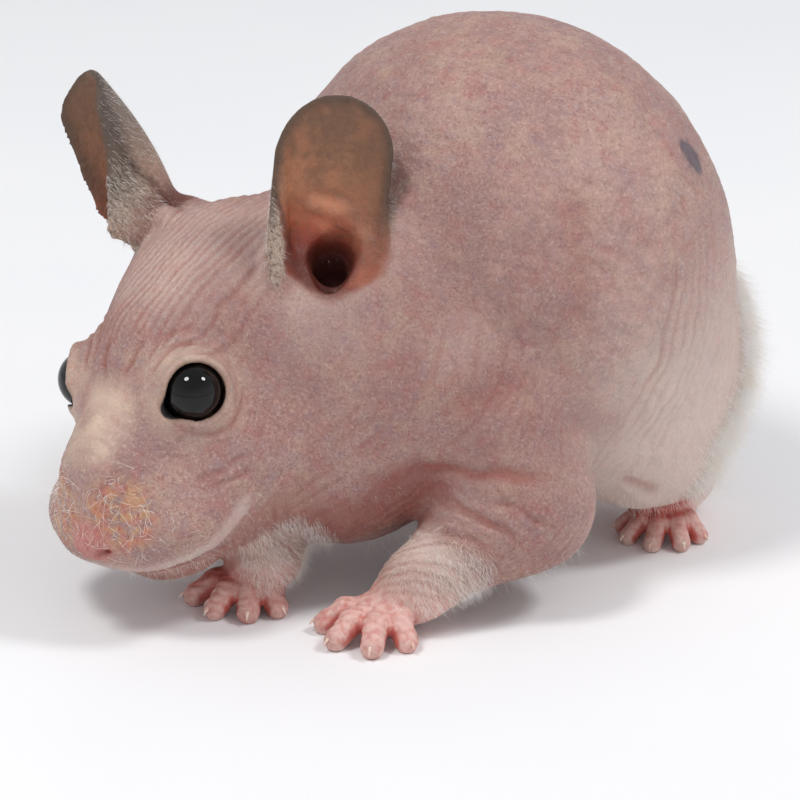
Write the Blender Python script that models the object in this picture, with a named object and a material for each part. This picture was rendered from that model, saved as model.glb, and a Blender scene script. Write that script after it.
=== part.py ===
"""A hairless hamster, life size: it stands hunched on its four feet, with its head low.

The body is one form, described as a distance field: a function that gives each point's
distance to the skin, below zero inside.  Ovals and tapered limbs are blended into it, and
eyelids, nostrils, the mouth and the ears' cups are carved out of it.  Thin cuts then part
it into head, neck, torso, tail, ears, legs and feet, and each is meshed by itself.

Sizes are in millimetres, and the meshes are made in metres, +Z up.  The animal faces -Y
with its left side at +X, and the floor is at z = 0.
"""
import math

import bmesh
import bpy
import numpy as np

MM = 0.001
CUT = 0.36                     # gap between neighbouring pieces

# Head: its frame has its origin between the eyes
HEAD_PLACE = (-16.2, -9.6, 27.8)
HEAD_YAW, HEAD_PITCH, HEAD_ROLL = 6.0, 32.8, 11.3
EYE_PLACE = (0.4, 8.9, 0.8)    # forward, left, up
EYE_RADIUS = 3.5
LID = 0.85                     # how far the lids stand off the eyeball
SOCKET = 0.3                   # gap round the eyeball
LID_BLEND = 4.2                # fillet between the lids and the head
LID_OPENING = (3.2, 3.2)       # half its length and height
LID_CORNER = (2.8, -1.5)       # middle of the small corner: forward, up
LID_CORNER_SIZE = (1.6, 1.0)
LID_SINK = 1.45                # how far the lids' ball lies deeper than the eyeball
HEAD_PLANES = (-24.5, -25.0, 18.5)         # back, low and left ends of the head's piece
NECK_PLANES = (-33.0, -25.0, 22.0)         # and of the neck's

# Ears
EAR_THICK = 1.15
EAR_CUT = 4.8                  # the ears' pieces start this far above their roots
EAR_LOBE = 7.5                 # below this the rims round in to the root
EAR_EDGE = 0.5                 # rounding of the rims
# An ear's root is in the head's frame, its curl is given for the top and for the root, and
# its tip is the height of the rounded top in widths of the ear
EARS = {
    "left": {"side": 1, "root": (-19.6, 14.0, -3.9), "length": 24.5, "width": 13.8,
             "curl": (0.05, 0.12), "tip": 0.5,
             "along": (0.05, 0.06, 0.99), "facing": (0.62, -0.76, 0.05)},
    "right": {"side": -1, "root": (-22.2, -8.7, 1.3), "length": 23.4, "width": 11.6,
              "curl": (0.10, 0.36), "tip": 0.38,
              "along": (-0.44, -0.25, 0.90), "facing": (-0.36, -0.92, 0.12)},
}

# Legs: joints and radii.  The feet sink a little into the floor, which flattens their soles
SOLE_RADIUS, SOLE_HEIGHT = 3.1, 2.6
TOE_SINK = 0.82                # height of a toe's tip, in its radii
SOLE_SNAP = 0.12               # what is lower than this is brought down to the floor
FORELEGS = {
    "left": {"shoulder": (11, 19, 26), "elbow": (19, 18.5, 13.5), "wrist": (13.6, 5.4, 5.6),
             "palm": (11.4, 1.6, SOLE_HEIGHT), "heading": 9, "digits": (8.4, 8.6, 8.2, 7.2)},
    "right": {"shoulder": (-16, 15, 25), "elbow": (-17.5, 11.5, 14), "wrist": (-4.9, -1.4, 6.2),
              "palm": (-6.2, -2.0, SOLE_HEIGHT), "heading": 16, "digits": (8.6, 7.8, 7.0, 6.6)},
}
HIND_LEGS = {
    "left": {"knee": (20.5, 42, 14), "ankle": (17.2, 54, 4.8),
             "ball": (19.3, 48, SOLE_HEIGHT), "heading": 22},
    "right": {"knee": (-18.5, 42, 14), "ankle": (-15.2, 54, 4.8),
              "ball": (-17.3, 48, SOLE_HEIGHT), "heading": -22},
}
SHOULDER_RADIUS, ELBOW_RADIUS, WRIST_RADIUS = 10.8, 8.0, 4.3
KNEE_RADIUS, ANKLE_RADIUS = 8.0, 4.1
FORE_SPREAD, HIND_SPREAD = 40, 29          # degrees between neighbouring toes
FORE_TOE, HIND_TOE = 1.45, 1.2             # toe radius
HIND_DIGITS = (7.0, 8.2, 8.6, 8.2, 7.0)
ANKLE_CUT = 6.4                # height at which the hind feet end
TAIL = ((1.5, 58, 17), (2.5, 69.5, 12.5))
TAIL_RADII = (3.6, 1.5)

SKIN = (0.79, 0.56, 0.52)
EAR_SKIN = (0.42, 0.28, 0.23)
FOOT_SKIN = (0.86, 0.49, 0.45)
EYE_BLACK = (0.012, 0.013, 0.015)


def vec(*xyz):
    return np.array(xyz, np.float64)


def unit(v):
    return np.asarray(v, np.float64) / np.linalg.norm(v)


def head_axes():
    """Rows: forward, left and up of the head, which looks down and leans to its right."""
    yaw, pitch, roll = (math.radians(a) for a in (HEAD_YAW, HEAD_PITCH, HEAD_ROLL))
    level = vec(math.sin(yaw), -math.cos(yaw), 0)
    left = vec(math.cos(yaw), math.sin(yaw), 0)
    forward = level * math.cos(pitch) - vec(0, 0, math.sin(pitch))
    up = np.cross(forward, left)
    lean = math.cos(roll), math.sin(roll)
    return np.array([forward, left * lean[0] + up * lean[1], up * lean[0] - left * lean[1]])


HEAD = head_axes()


def head_point(forward, left, up):
    return vec(*HEAD_PLACE) + vec(forward, left, up) @ HEAD


# Forms of the distance field

def ellipsoid(p, centre, radii, axes=None):
    q = p - centre
    if axes is not None:
        q = q @ axes.T
    near = np.linalg.norm(q / radii, axis=-1)
    slope = np.linalg.norm(q / np.square(radii), axis=-1)
    return near * (near - 1) / np.maximum(slope, 1e-9)


def ball(p, centre, radius):
    return np.linalg.norm(p - centre, axis=-1) - radius


def limb(p, a, b, radius_a, radius_b):
    """A round cone from a to b."""
    a, b = vec(*a), vec(*b)
    along = b - a
    share = np.clip((p - a) @ along / (along @ along), 0, 1)
    gap = np.linalg.norm(p - a - share[..., None] * along, axis=-1)
    return gap - (radius_a + (radius_b - radius_a) * share)


def behind(p, point, normal):
    """A half space: inside is the side that the normal points away from."""
    return (p - point) @ unit(normal)


def join(a, b, soft):
    """Both forms, with a fillet of about this size between them."""
    step = np.maximum(soft - np.abs(a - b), 0) / soft
    return np.minimum(a, b) - step * step * soft / 4


def meet(a, b, soft):
    """What both forms share, with its edge rounded by about this much."""
    step = np.maximum(soft - np.abs(a - b), 0) / soft
    return np.maximum(a, b) + step * step * soft / 4


def carve(a, b, soft):
    """Form a without form b, with its rim rounded by about this much."""
    return meet(a, -b, soft)


def head_oval(p, place, radii):
    return ellipsoid(p, head_point(*place), vec(*radii), HEAD)


def head_limb(p, a, b, radius_a, radius_b):
    return limb(p, head_point(*a), head_point(*b), radius_a, radius_b)


# Head

def skull(p):
    d = head_oval(p, (-13.5, 0, -3.5), (16, 12, 12.3))
    d = join(d, head_limb(p, (-4, 0, -1.8), (9.4, 0, -5.4), 7.7, 8.0), 5)
    d = join(d, head_oval(p, (11.8, 0, -9.6), (7.0, 13.0, 6.6)), 3)
    for side in (1, -1):
        cheek = head_oval(p, (-2, side * 7.6, -12.5), (13.5, 7.8, 9.6))
        lip = head_limb(p, (3, side * 4.6, -8.5), (11, side * 3.6, -9.5), 5.8, 4.0)
        whisker_pad = head_oval(p, (14.3, side * 4.4, -8.6), (4.5, 4.1, 3.9))
        d = join(join(join(d, cheek, 5), lip, 3), whisker_pad, 1.2)
    chin = head_oval(p, (8.3, 0, -15.9), (7.6, 8.8, 4.7))
    lower_jaw = join(chin, head_limb(p, (8, 0, -17.4), (0, 0, -18.5), 3.2, 6.4), 3)
    nose = head_oval(p, (18.8, 0, -6.5), (1.6, 2.2, 1.9))
    return join(join(d, lower_jaw, 0.8), nose, 1.8)


def eye_centre(side):
    forward, left, up = EYE_PLACE
    return head_point(forward, side * left, up)


def eye_axes(side):
    """Rows: along the lids to the inner corner, up, and out of the head."""
    out = unit(vec(0.34, side * 0.86, 0.38))
    inner = vec(0.93, 0, -0.36)
    inner = unit(inner - out * (inner @ out))
    return np.array([inner, np.cross(out, inner) * side, out]) @ HEAD


def lid_opening(p, side):
    """A round opening drawn out to a small corner at its lower front."""
    q = (p - eye_centre(side)) @ eye_axes(side).T
    length, height = LID_OPENING
    round_part = (np.hypot(q[..., 0] / length, q[..., 1] / height) - 1) * height
    length, height = LID_CORNER_SIZE
    forward, up = q[..., 0] - LID_CORNER[0], q[..., 1] - LID_CORNER[1]
    corner = (np.hypot(forward / length, up / height) - 1) * height
    return np.maximum(join(round_part, corner, 0.8), 0.5 - q[..., 2])


def with_lids(d, p, side):
    centre = eye_centre(side)
    lids = ball(p, centre - LID_SINK * eye_axes(side)[2], EYE_RADIUS + LID)
    d = join(d, lids, LID_BLEND)
    d = carve(d, lid_opening(p, side), 0.35)
    return carve(d, ball(p, centre, EYE_RADIUS + SOCKET), 0.1)


def with_mouth(d, p):
    """The line of the mouth, the nostrils, and the groove from the nose to the lip."""
    under_nose = (18.0, 0, -13.0)
    for side in (1, -1):
        line = [under_nose, (17.4, side * 4.0, -12.7), (16.0, side * 8.6, -12.4),
                (14.0, side * 11.5, -12.5), (9.9, side * 11.7, -15.1)]
        for start, end in zip(line, line[1:]):
            d = carve(d, head_limb(p, start, end, 0.5, 0.5), 0.4)
        d = carve(d, head_limb(p, (20.7, side * 1.1, -6.6), (18.6, side * 2.2, -7.2), 0.55, 0.45), 0.3)
    return carve(d, head_limb(p, (20.4, 0, -8.0), under_nose, 0.3, 0.4), 0.4)


# Ears

def ear_frame(ear):
    """The ear's root, and rows: across it, out of its cup, and along it."""
    along = unit(ear["along"])
    across = unit(np.cross(along, ear["facing"]))
    return head_point(*ear["root"]), np.array([across, np.cross(across, along), along])


def ear_half_width(share, ear):
    """Half the ear's width, where share is 0 at the root and 1 at the top."""
    return ear["width"] / 2 * (0.88 + 0.12 * np.sin(np.pi / 2 * np.clip(share / 0.6, 0, 1)))


def ear_lean(share, ear):
    """How far the ear's outline lies to the side of its axis: towards the front at the root."""
    return -ear["side"] * 1.2 * (1 - share) ** 1.5


def ear_cup(share, across, ear):
    """How far the ear's sheet stands forward of its axis, and how tightly it curls there."""
    top, root = ear["curl"]
    curl = top + (root - top) * (1 - share)
    return curl * across * across - 1.6 * np.sin(np.pi * share) - 0.6, curl


def ear_sheet(p, ear):
    root, axes = ear_frame(ear)
    q = (p - root) @ axes.T
    share = np.clip(q[..., 2] / ear["length"], 0, 1)
    forward, curl = ear_cup(share, q[..., 0], ear)
    slope = np.hypot(1, 2 * curl * q[..., 0])
    thick = EAR_THICK / 2 * (1.5 - 0.6 * share)
    sheet = np.abs(q[..., 1] - forward) / slope - thick
    above = np.maximum(q[..., 2] - ear["length"] + ear["tip"] * ear["width"], 0) / (2 * ear["tip"])
    below = 0.95 * np.maximum(EAR_LOBE - q[..., 2], 0)
    outline = np.hypot(q[..., 0] - ear_lean(share, ear), above + below) - ear_half_width(share, ear)
    return meet(sheet, 0.85 * np.maximum(outline, -q[..., 2] - 3), EAR_EDGE)


def on_ear(share, across, lift, ear):
    """A point this far inside the cup from the ear's sheet."""
    root, axes = ear_frame(ear)
    forward, curl = ear_cup(share, across, ear)
    tilt = unit(vec(-2 * curl * across, 1, 0))
    return root + (vec(across, forward, share * ear["length"]) + lift * tilt) @ axes


def ear_rim(p, ear):
    """The front rim, folded in over the cup up to most of the ear's height."""
    d = np.full(p.shape[:-1], np.inf)
    last = None
    for share in (0.2, 0.3, 0.4, 0.5, 0.6, 0.72):
        fold = 1 - (share - 0.2) / 0.52
        half = float(ear_half_width(share, ear))
        across = float(ear_lean(share, ear)) - ear["side"] * (0.92 - 0.1 * fold) * half
        here = on_ear(share, across, 0.8 * fold, ear)
        radius = 0.4 + 0.7 * fold
        if last is not None:
            d = np.minimum(d, limb(p, last, here, last_radius, radius))
        last, last_radius = here, radius
    return d


def in_ear(across, forward, along, ear):
    """A point of the ear's own frame: towards the rear rim, out of the cup, and up from the root."""
    root, axes = ear_frame(ear)
    return root + vec(ear["side"] * across, forward, along) @ axes


def with_ear(d, p, ear):
    root, axes = ear_frame(ear)
    d = join(d, join(ear_sheet(p, ear), ear_rim(p, ear), 1.0), 1.8)
    floor = ellipsoid(p, in_ear(0, -0.8, -1.0, ear), vec(5.6, 4.6, 5.6), axes)
    ridge = limb(p, on_ear(0.44, -2.6, 0.4, ear), on_ear(0.40, 2.8, 0.4, ear), 0.55, 0.55)
    d = join(join(d, floor, 2.0), ridge, 1.4)
    front_knob = ellipsoid(p, in_ear(-5.4, 2.4, 2.4, ear), vec(1.9, 1.6, 2.6), axes)
    rear_knob = ellipsoid(p, in_ear(3.4, 3.2, 1.4, ear), vec(1.5, 1.5, 2.6), axes)
    d = join(join(d, front_knob, 1.8), rear_knob, 1.6)
    slot = limb(p, in_ear(0.0, 3.4, 7.0, ear), in_ear(1.3, 4.2, -1.4, ear), 3.4, 0.8)
    canal = limb(p, in_ear(0.2, 1.5, 4.6, ear), in_ear(0.7, -1.9, 0.2, ear), 2.6, 1.7)
    return carve(d, join(slot, canal, 1.0), 1.0)


# Trunk

def torso(p):
    d = ellipsoid(p, vec(0, 37.6, 34.6), vec(31, 25.8, 31))
    d = join(d, ellipsoid(p, vec(-4, 16, 25), vec(17.5, 17.5, 17.5)), 7)
    d = join(d, ellipsoid(p, vec(-2.5, 9.5, 17.5), vec(12, 11, 11.5)), 5)
    for side in (1, -1):
        haunch = ellipsoid(p, vec(side * 14.2, 46, 22.3), vec(13.8, 16.6, 17.2))
        d = join(d, haunch, 4)
    neck = limb(p, (-7, 18, 33), head_point(-16, 0, -8), 16, 12.5)
    throat = limb(p, (2, 14, 24), head_point(-6, 4, -15), 12, 8)
    return join(join(d, neck, 6), throat, 5)


def tail(p):
    return limb(p, *TAIL, *TAIL_RADII)


# Legs and feet

def foreleg(p, leg):
    upper = limb(p, leg["shoulder"], leg["elbow"], SHOULDER_RADIUS, ELBOW_RADIUS)
    lower = limb(p, leg["elbow"], leg["wrist"], ELBOW_RADIUS - 0.4, WRIST_RADIUS)
    return join(upper, lower, 4)


def toes(p, palm, heading, spread, lengths, thick):
    """Toes fanned out round the palm, each arched down to its tip, with a short claw."""
    palm = vec(*palm)
    d = np.full(p.shape[:-1], np.inf)
    for number, length in enumerate(lengths):
        turn = math.radians(heading + spread * (number - (len(lengths) - 1) / 2))
        way = vec(math.sin(turn), -math.cos(turn), 0)
        knuckle = palm + way * length * 0.52
        tip = palm + way * (length - thick)
        claw = palm + way * (length + thick * 0.8)
        knuckle[2], tip[2], claw[2] = 2 * thick, thick * TOE_SINK, thick * 0.45
        toe = limb(p, palm + way * 1.2, knuckle, thick * 1.35, thick * 1.12)
        toe = join(toe, limb(p, knuckle, tip, thick * 1.1, thick), 0.5)
        toe = join(toe, limb(p, tip, claw, thick * 0.5, 0.3), 0.3)
        d = join(d, toe, 0.4) if number else toe
    return d


def forefoot(p, leg):
    palm = limb(p, leg["wrist"], leg["palm"], WRIST_RADIUS - 0.1, SOLE_RADIUS)
    fan = toes(p, leg["palm"], leg["heading"], FORE_SPREAD, leg["digits"], FORE_TOE)
    return join(palm, fan, 0.9)


def hind_leg(p, leg):
    return limb(p, leg["knee"], leg["ankle"], KNEE_RADIUS, ANKLE_RADIUS)


def hind_foot(p, leg):
    sole = limb(p, leg["ankle"], leg["ball"], ANKLE_RADIUS - 0.3, SOLE_RADIUS)
    fan = toes(p, leg["ball"], leg["heading"], HIND_SPREAD, HIND_DIGITS, HIND_TOE)
    return join(sole, fan, 0.9)


# The whole form

def body(p):
    d = join(torso(p), skull(p), 5)
    for leg in FORELEGS.values():
        d = join(join(d, foreleg(p, leg), 3.5), forefoot(p, leg), 1.5)
    for leg in HIND_LEGS.values():
        d = join(join(d, hind_leg(p, leg), 4), hind_foot(p, leg), 1.5)
    for ear in EARS.values():
        d = with_ear(d, p, ear)
    d = join(d, tail(p), 3)
    for side in (1, -1):
        d = with_lids(d, p, side)
    return np.maximum(with_mouth(d, p), -p[..., 2])


# Where each piece ends.  The first region that holds a point has it.

def ear_region(p, ear):
    root, axes = ear_frame(ear)
    form = np.minimum(ear_sheet(p, ear), ear_rim(p, ear)) - 1.3
    return np.maximum(form, behind(p, root + vec(0, 0, EAR_CUT) @ axes, -axes[2]))


def forefoot_region(p, leg):
    wrist, elbow = vec(*leg["wrist"]), vec(*leg["elbow"])
    return np.maximum(forefoot(p, leg) - 1.5, behind(p, wrist, elbow - wrist))


def foreleg_region(p, leg):
    side = np.sign(leg["elbow"][0])
    outside = vec(*leg["shoulder"]) + vec(side * 9, 3, -1)
    upper = limb(p, outside, leg["elbow"], 12, ELBOW_RADIUS + 2)
    lower = limb(p, leg["elbow"], leg["wrist"], ELBOW_RADIUS + 2, WRIST_RADIUS + 1.6)
    return np.minimum(upper, lower)


def hind_foot_region(p, leg):
    return np.maximum(hind_foot(p, leg) - 1.3, p[..., 2] - ANKLE_CUT)


def hind_leg_region(p, leg):
    side = np.sign(leg["knee"][0])
    return ellipsoid(p, vec(side * 20.5, 46, 20), vec(14, 18, 20))


def tail_region(p):
    root, tip = vec(*TAIL[0]), vec(*TAIL[1])
    way = unit(tip - root)
    return np.maximum(limb(p, root, tip, 7, 5), behind(p, root + way * 4.6, -way))


def box_from_head(p, back, low, left):
    """All that lies ahead of, above and to the right of three planes in the head's frame."""
    q = (p - vec(*HEAD_PLACE)) @ HEAD.T
    return np.maximum(np.maximum(back - q[..., 0], low - q[..., 2]), q[..., 1] - left)


def head_region(p):
    return box_from_head(p, *HEAD_PLANES)


def neck_region(p):
    return box_from_head(p, *NECK_PLANES)


def pieces():
    """Name, region, mesh step and number of triangles of each piece, in order of cutting."""
    listed = []
    for name, ear in EARS.items():
        listed.append(("ear_" + name, lambda p, ear=ear: ear_region(p, ear), 0.40, 900))
    for name, leg in FORELEGS.items():
        listed.append(("forefoot_" + name, lambda p, leg=leg: forefoot_region(p, leg), 0.40, 1000))
    for name, leg in HIND_LEGS.items():
        listed.append(("hind_foot_" + name, lambda p, leg=leg: hind_foot_region(p, leg), 0.40, 1000))
    for name, leg in FORELEGS.items():
        listed.append(("foreleg_" + name, lambda p, leg=leg: foreleg_region(p, leg), 0.7, 500))
    for name, leg in HIND_LEGS.items():
        listed.append(("hind_leg_" + name, lambda p, leg=leg: hind_leg_region(p, leg), 0.8, 500))
    listed.append(("tail", tail_region, 0.5, 160))
    listed.append(("head", head_region, 0.4, 3600))
    listed.append(("neck", neck_region, 0.8, 500))
    listed.append(("torso", None, 0.9, 1600))
    return listed


def piece_field(listed, number):
    """The body inside one piece's region and outside all regions before it."""
    def field(p):
        d = body(p)
        for name, region, step, triangles in listed[:number]:
            d = np.maximum(d, CUT / 2 - region(p))
        own = listed[number][1]
        return d if own is None else np.maximum(d, own(p) + CUT / 2)
    return field


# Meshing the field

BOX_LOW = vec(-44, -40, -1.6)
BOX_HIGH = vec(44, 82, 76)
BLOCK = 6                      # grid cells along one side of a coarse block
BATCH = 800                    # blocks worked out at once
THIN_TRIES = 8
CORNERS = [(i, j, k) for i in (0, 1) for j in (0, 1) for k in (0, 1)]
EDGES = [(a, b) for a in range(8) for b in range(a + 1, 8)
         if sum(abs(m - n) for m, n in zip(CORNERS[a], CORNERS[b])) == 1]


def sample(field, step):
    """The field on a grid, worked out in full only in the blocks that the surface may cross."""
    size = step * BLOCK
    count = np.ceil((BOX_HIGH - BOX_LOW) / size).astype(int)
    middles = [BOX_LOW[i] + (np.arange(count[i]) + 0.5) * size for i in range(3)]
    coarse = field(np.stack(np.meshgrid(*middles, indexing="ij"), -1).reshape(-1, 3)).reshape(count)
    grid = np.where(coarse < 0, -size, size).astype(np.float32)
    for axis in range(3):
        grid = np.repeat(grid, BLOCK, axis)
    inner = np.stack(np.meshgrid(*[np.arange(BLOCK)] * 3, indexing="ij"), -1).reshape(-1, 3)
    near = np.argwhere(np.abs(coarse) < 1.5 * size)
    for blocks in np.array_split(near, len(near) // BATCH + 1):
        cells = (blocks[:, None] * BLOCK + inner).reshape(-1, 3)
        grid[tuple(cells.T)] = field(BOX_LOW + (cells + 0.5) * step)
    return grid


def sheets_by_corners():
    """For each set of inside corners of a cell: which of its surface sheets crosses each edge."""
    faces = []
    for axis in range(3):
        for value in (0, 1):
            ring = [(0, 0), (0, 1), (1, 1), (1, 0)]
            corners = [tuple(pair[:axis]) + (value,) + tuple(pair[axis:]) for pair in ring]
            faces.append([CORNERS.index(c) for c in corners])
    table = np.full((256, 12), -1)
    for code in range(256):
        inside = [code >> n & 1 for n in range(8)]
        sheet = {e: e for e, (a, b) in enumerate(EDGES) if inside[a] != inside[b]}
        for face in faces:
            ring = [EDGES.index(tuple(sorted((face[n], face[(n + 1) % 4])))) for n in range(4)]
            crossed = [e for e in ring if e in sheet]
            pairs = [crossed] if len(crossed) == 2 else []
            if len(crossed) == 4:
                pairs = [(ring[n - 1], ring[n]) for n in range(4) if inside[face[n]]]
            for one, other in pairs:
                old, new = sheet[one], sheet[other]
                sheet = {e: new if s == old else s for e, s in sheet.items()}
        names = sorted(set(sheet.values()))
        for edge, s in sheet.items():
            table[code, edge] = names.index(s)
    return table


SHEETS = sheets_by_corners()


def surface(grid, step):
    """Points and four-sided faces of the grid's zero level, one point for each sheet in a cell."""
    inside = grid < 0
    shape = [n - 1 for n in grid.shape]
    code = sum(inside[i:i + shape[0], j:j + shape[1], k:k + shape[2]].astype(np.int32) << n
               for n, (i, j, k) in enumerate(CORNERS))
    cells = np.argwhere((code > 0) & (code < 255))
    codes = code[tuple(cells.T)]
    sheets = SHEETS.max(1) + 1
    first = np.zeros(code.shape, np.int64)
    first[tuple(cells.T)] = np.cumsum(sheets[codes]) - sheets[codes]
    total = np.zeros((int(sheets[codes].sum()), 3))
    hits = np.zeros(len(total))
    values = [grid[tuple((cells + corner).T)] for corner in CORNERS]
    for edge, (a, b) in enumerate(EDGES):
        crossed = SHEETS[codes, edge] >= 0
        low, high = values[a][crossed], values[b][crossed]
        share = (low / (low - high))[:, None]
        point = cells[crossed] + vec(*CORNERS[a]) * (1 - share) + vec(*CORNERS[b]) * share
        owner = first[tuple(cells[crossed].T)] + SHEETS[codes[crossed], edge]
        np.add.at(total, owner, point)
        np.add.at(hits, owner, 1)
    points = BOX_LOW + (total / hits[:, None] + 0.5) * step
    quads = []
    for axis in range(3):
        u, v = (axis + 1) % 3, (axis + 2) % 3
        here = [slice(1, -1)] * 3
        here[axis] = slice(0, -1)
        ahead = list(here)
        ahead[axis] = slice(1, None)
        starts = np.argwhere(inside[tuple(here)] != inside[tuple(ahead)])
        starts[:, [u, v]] += 1
        ring = []
        for du, dv in ((1, 1), (0, 1), (0, 0), (1, 0)):
            low_corner = [0, 0, 0]
            low_corner[u], low_corner[v] = du, dv
            high_corner = list(low_corner)
            high_corner[axis] = 1
            edge = EDGES.index((CORNERS.index(tuple(low_corner)), CORNERS.index(tuple(high_corner))))
            cell = tuple((starts - low_corner).T)
            ring.append(first[cell] + SHEETS[code[cell], edge])
        quad = np.stack(ring, 1)
        flip = ~inside[tuple(starts.T)]
        quad[flip] = quad[flip][:, ::-1]
        quads.append(quad)
    return points, np.concatenate(quads)


# Blender objects

def clear_scene():
    for obj in list(bpy.data.objects):
        bpy.data.objects.remove(obj, do_unlink=True)


def material(name, colour, roughness, coat=0.0):
    mat = bpy.data.materials.new(name)
    mat.use_nodes = True
    shader = mat.node_tree.nodes["Principled BSDF"]
    shader.inputs["Base Color"].default_value = (*colour, 1)
    shader.inputs["Roughness"].default_value = roughness
    shader.inputs["Metallic"].default_value = 0.0
    shader.inputs["Coat Weight"].default_value = coat
    mat.diffuse_color = (*colour, 1)
    return mat


def keep_largest(mesh):
    """Keep only the closed surface with the most faces."""
    bm = bmesh.new()
    bm.from_mesh(mesh)
    unseen = set(bm.faces)
    shells = []
    while unseen:
        shell = []
        stack = [unseen.pop()]
        while stack:
            face = stack.pop()
            shell.append(face)
            for edge in face.edges:
                for other in edge.link_faces:
                    if other in unseen:
                        unseen.remove(other)
                        stack.append(other)
        shells.append(shell)
    shells.sort(key=len)
    for shell in shells[:-1]:
        bmesh.ops.delete(bm, geom=shell, context="FACES")
    loose = [v for v in bm.verts if not v.link_faces]
    bmesh.ops.delete(bm, geom=loose, context="VERTS")
    bmesh.ops.triangulate(bm, faces=bm.faces)
    bm.to_mesh(mesh)
    bm.free()


def add_object(name, points, faces, mat):
    mesh = bpy.data.meshes.new(name)
    mesh.from_pydata([tuple(p) for p in points * MM], [], faces.tolist())
    mesh.materials.append(mat)
    obj = bpy.data.objects.new(name, mesh)
    bpy.context.scene.collection.objects.link(obj)
    return obj


def is_closed(mesh):
    """Whether every edge has exactly two faces."""
    uses = {}
    for face in mesh.polygons:
        for key in face.edge_keys:
            uses[key] = uses.get(key, 0) + 1
    return all(count == 2 for count in uses.values())


def flatten_soles(mesh):
    for vertex in mesh.vertices:
        if vertex.co.z < SOLE_SNAP * MM:
            vertex.co.z = 0


def thin_out(obj, triangles):
    """Collapse edges until the object has about this many triangles, or a few more to stay closed."""
    keep_largest(obj.data)
    flatten_soles(obj.data)
    full = len(obj.data.polygons)
    modifier = obj.modifiers.new("thin_out", "DECIMATE")
    for extra in range(THIN_TRIES):
        modifier.ratio = min(1, triangles * (1 + 0.02 * extra) / full)
        graph = bpy.context.evaluated_depsgraph_get()
        mesh = bpy.data.meshes.new_from_object(obj.evaluated_get(graph))
        keep_largest(mesh)
        flatten_soles(mesh)
        if is_closed(mesh):
            break
    obj.modifiers.clear()
    obj.data = mesh
    obj.data.name = obj.name


def make_piece(listed, number, mat):
    name, region, step, triangles = listed[number]
    points, faces = surface(sample(piece_field(listed, number), step), step)
    obj = add_object(name, points, faces, mat)
    thin_out(obj, triangles)
    return obj


def make_eye(name, side, mat):
    bm = bmesh.new()
    bmesh.ops.create_uvsphere(bm, u_segments=24, v_segments=14, radius=EYE_RADIUS * MM)
    bmesh.ops.translate(bm, verts=bm.verts, vec=eye_centre(side) * MM)
    bmesh.ops.triangulate(bm, faces=bm.faces)
    mesh = bpy.data.meshes.new(name)
    bm.to_mesh(mesh)
    bm.free()
    mesh.materials.append(mat)
    obj = bpy.data.objects.new(name, mesh)
    bpy.context.scene.collection.objects.link(obj)
    return obj


def stand_on_origin(objects):
    """Put the origin under the middle of the whole animal."""
    corners = np.array([v.co for obj in objects for v in obj.data.vertices])
    low, high = corners.min(0), corners.max(0)
    shift = vec(-(low[0] + high[0]) / 2, -(low[1] + high[1]) / 2, 0)
    for obj in objects:
        for vertex in obj.data.vertices:
            vertex.co.x += shift[0]
            vertex.co.y += shift[1]


def build():
    clear_scene()
    skin = material("skin", SKIN, 0.55)
    ear_skin = material("ear_skin", EAR_SKIN, 0.5)
    foot_skin = material("foot_skin", FOOT_SKIN, 0.5)
    eye_black = material("eye", EYE_BLACK, 0.05, coat=1.0)
    listed = pieces()
    objects = []
    for number, (name, region, step, triangles) in enumerate(listed):
        mat = ear_skin if name.startswith("ear") else foot_skin if "foot" in name else skin
        objects.append(make_piece(listed, number, mat))
    objects.append(make_eye("eye_left", 1, eye_black))
    objects.append(make_eye("eye_right", -1, eye_black))
    stand_on_origin(objects)
    for obj in objects:
        obj.data.shade_smooth()


build()
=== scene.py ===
"""The looks of a hairless hamster: one wrinkled skin over the solids, with eyes, claws and hairs.

The skin follows the same distance field as the solids: a function that gives each point's
distance to the surface, below zero inside.  It is meshed in one piece, finer than the solids,
and then folds, wrinkles and small lumps push each of its points in or out.

The form is in millimetres in its own frame: the animal faces -Y with its left side at +X, and
the floor is at z = 0.  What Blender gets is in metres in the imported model's frame.
"""

import functools
import itertools
import math

import bpy
import numpy as np
from mathutils import Matrix, Vector


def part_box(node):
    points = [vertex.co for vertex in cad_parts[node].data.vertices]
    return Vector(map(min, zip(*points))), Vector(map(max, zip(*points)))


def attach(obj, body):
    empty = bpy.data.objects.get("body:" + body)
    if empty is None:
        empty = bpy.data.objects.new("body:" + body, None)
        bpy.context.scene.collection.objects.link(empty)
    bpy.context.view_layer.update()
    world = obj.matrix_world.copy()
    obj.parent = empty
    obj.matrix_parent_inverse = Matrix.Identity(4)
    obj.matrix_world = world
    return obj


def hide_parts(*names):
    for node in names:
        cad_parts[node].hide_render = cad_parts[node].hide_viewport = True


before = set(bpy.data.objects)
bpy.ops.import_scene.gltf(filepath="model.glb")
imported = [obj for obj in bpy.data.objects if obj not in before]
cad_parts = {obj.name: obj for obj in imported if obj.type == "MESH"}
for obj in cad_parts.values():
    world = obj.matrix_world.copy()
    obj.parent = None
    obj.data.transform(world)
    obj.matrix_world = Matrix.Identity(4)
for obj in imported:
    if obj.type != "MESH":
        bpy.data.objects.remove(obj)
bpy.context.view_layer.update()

MM = 0.001
STEP = 0.3          # mesh step of the skin

# Head: its frame has its origin between the eyes
HEAD_PLACE = (-16.2, -9.6, 27.8)
HEAD_YAW, HEAD_PITCH, HEAD_ROLL = 6.0, 32.8, 11.3
EYE_PLACE = (0.4, 8.9, 0.8)    # forward, left, up
EYE_RADIUS = 3.5
LID = 0.85                     # how far the lids stand off the eyeball
SOCKET = 0.18                  # gap round the eyeball
LID_BLEND = 4.2                # fillet between the lids and the head
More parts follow.
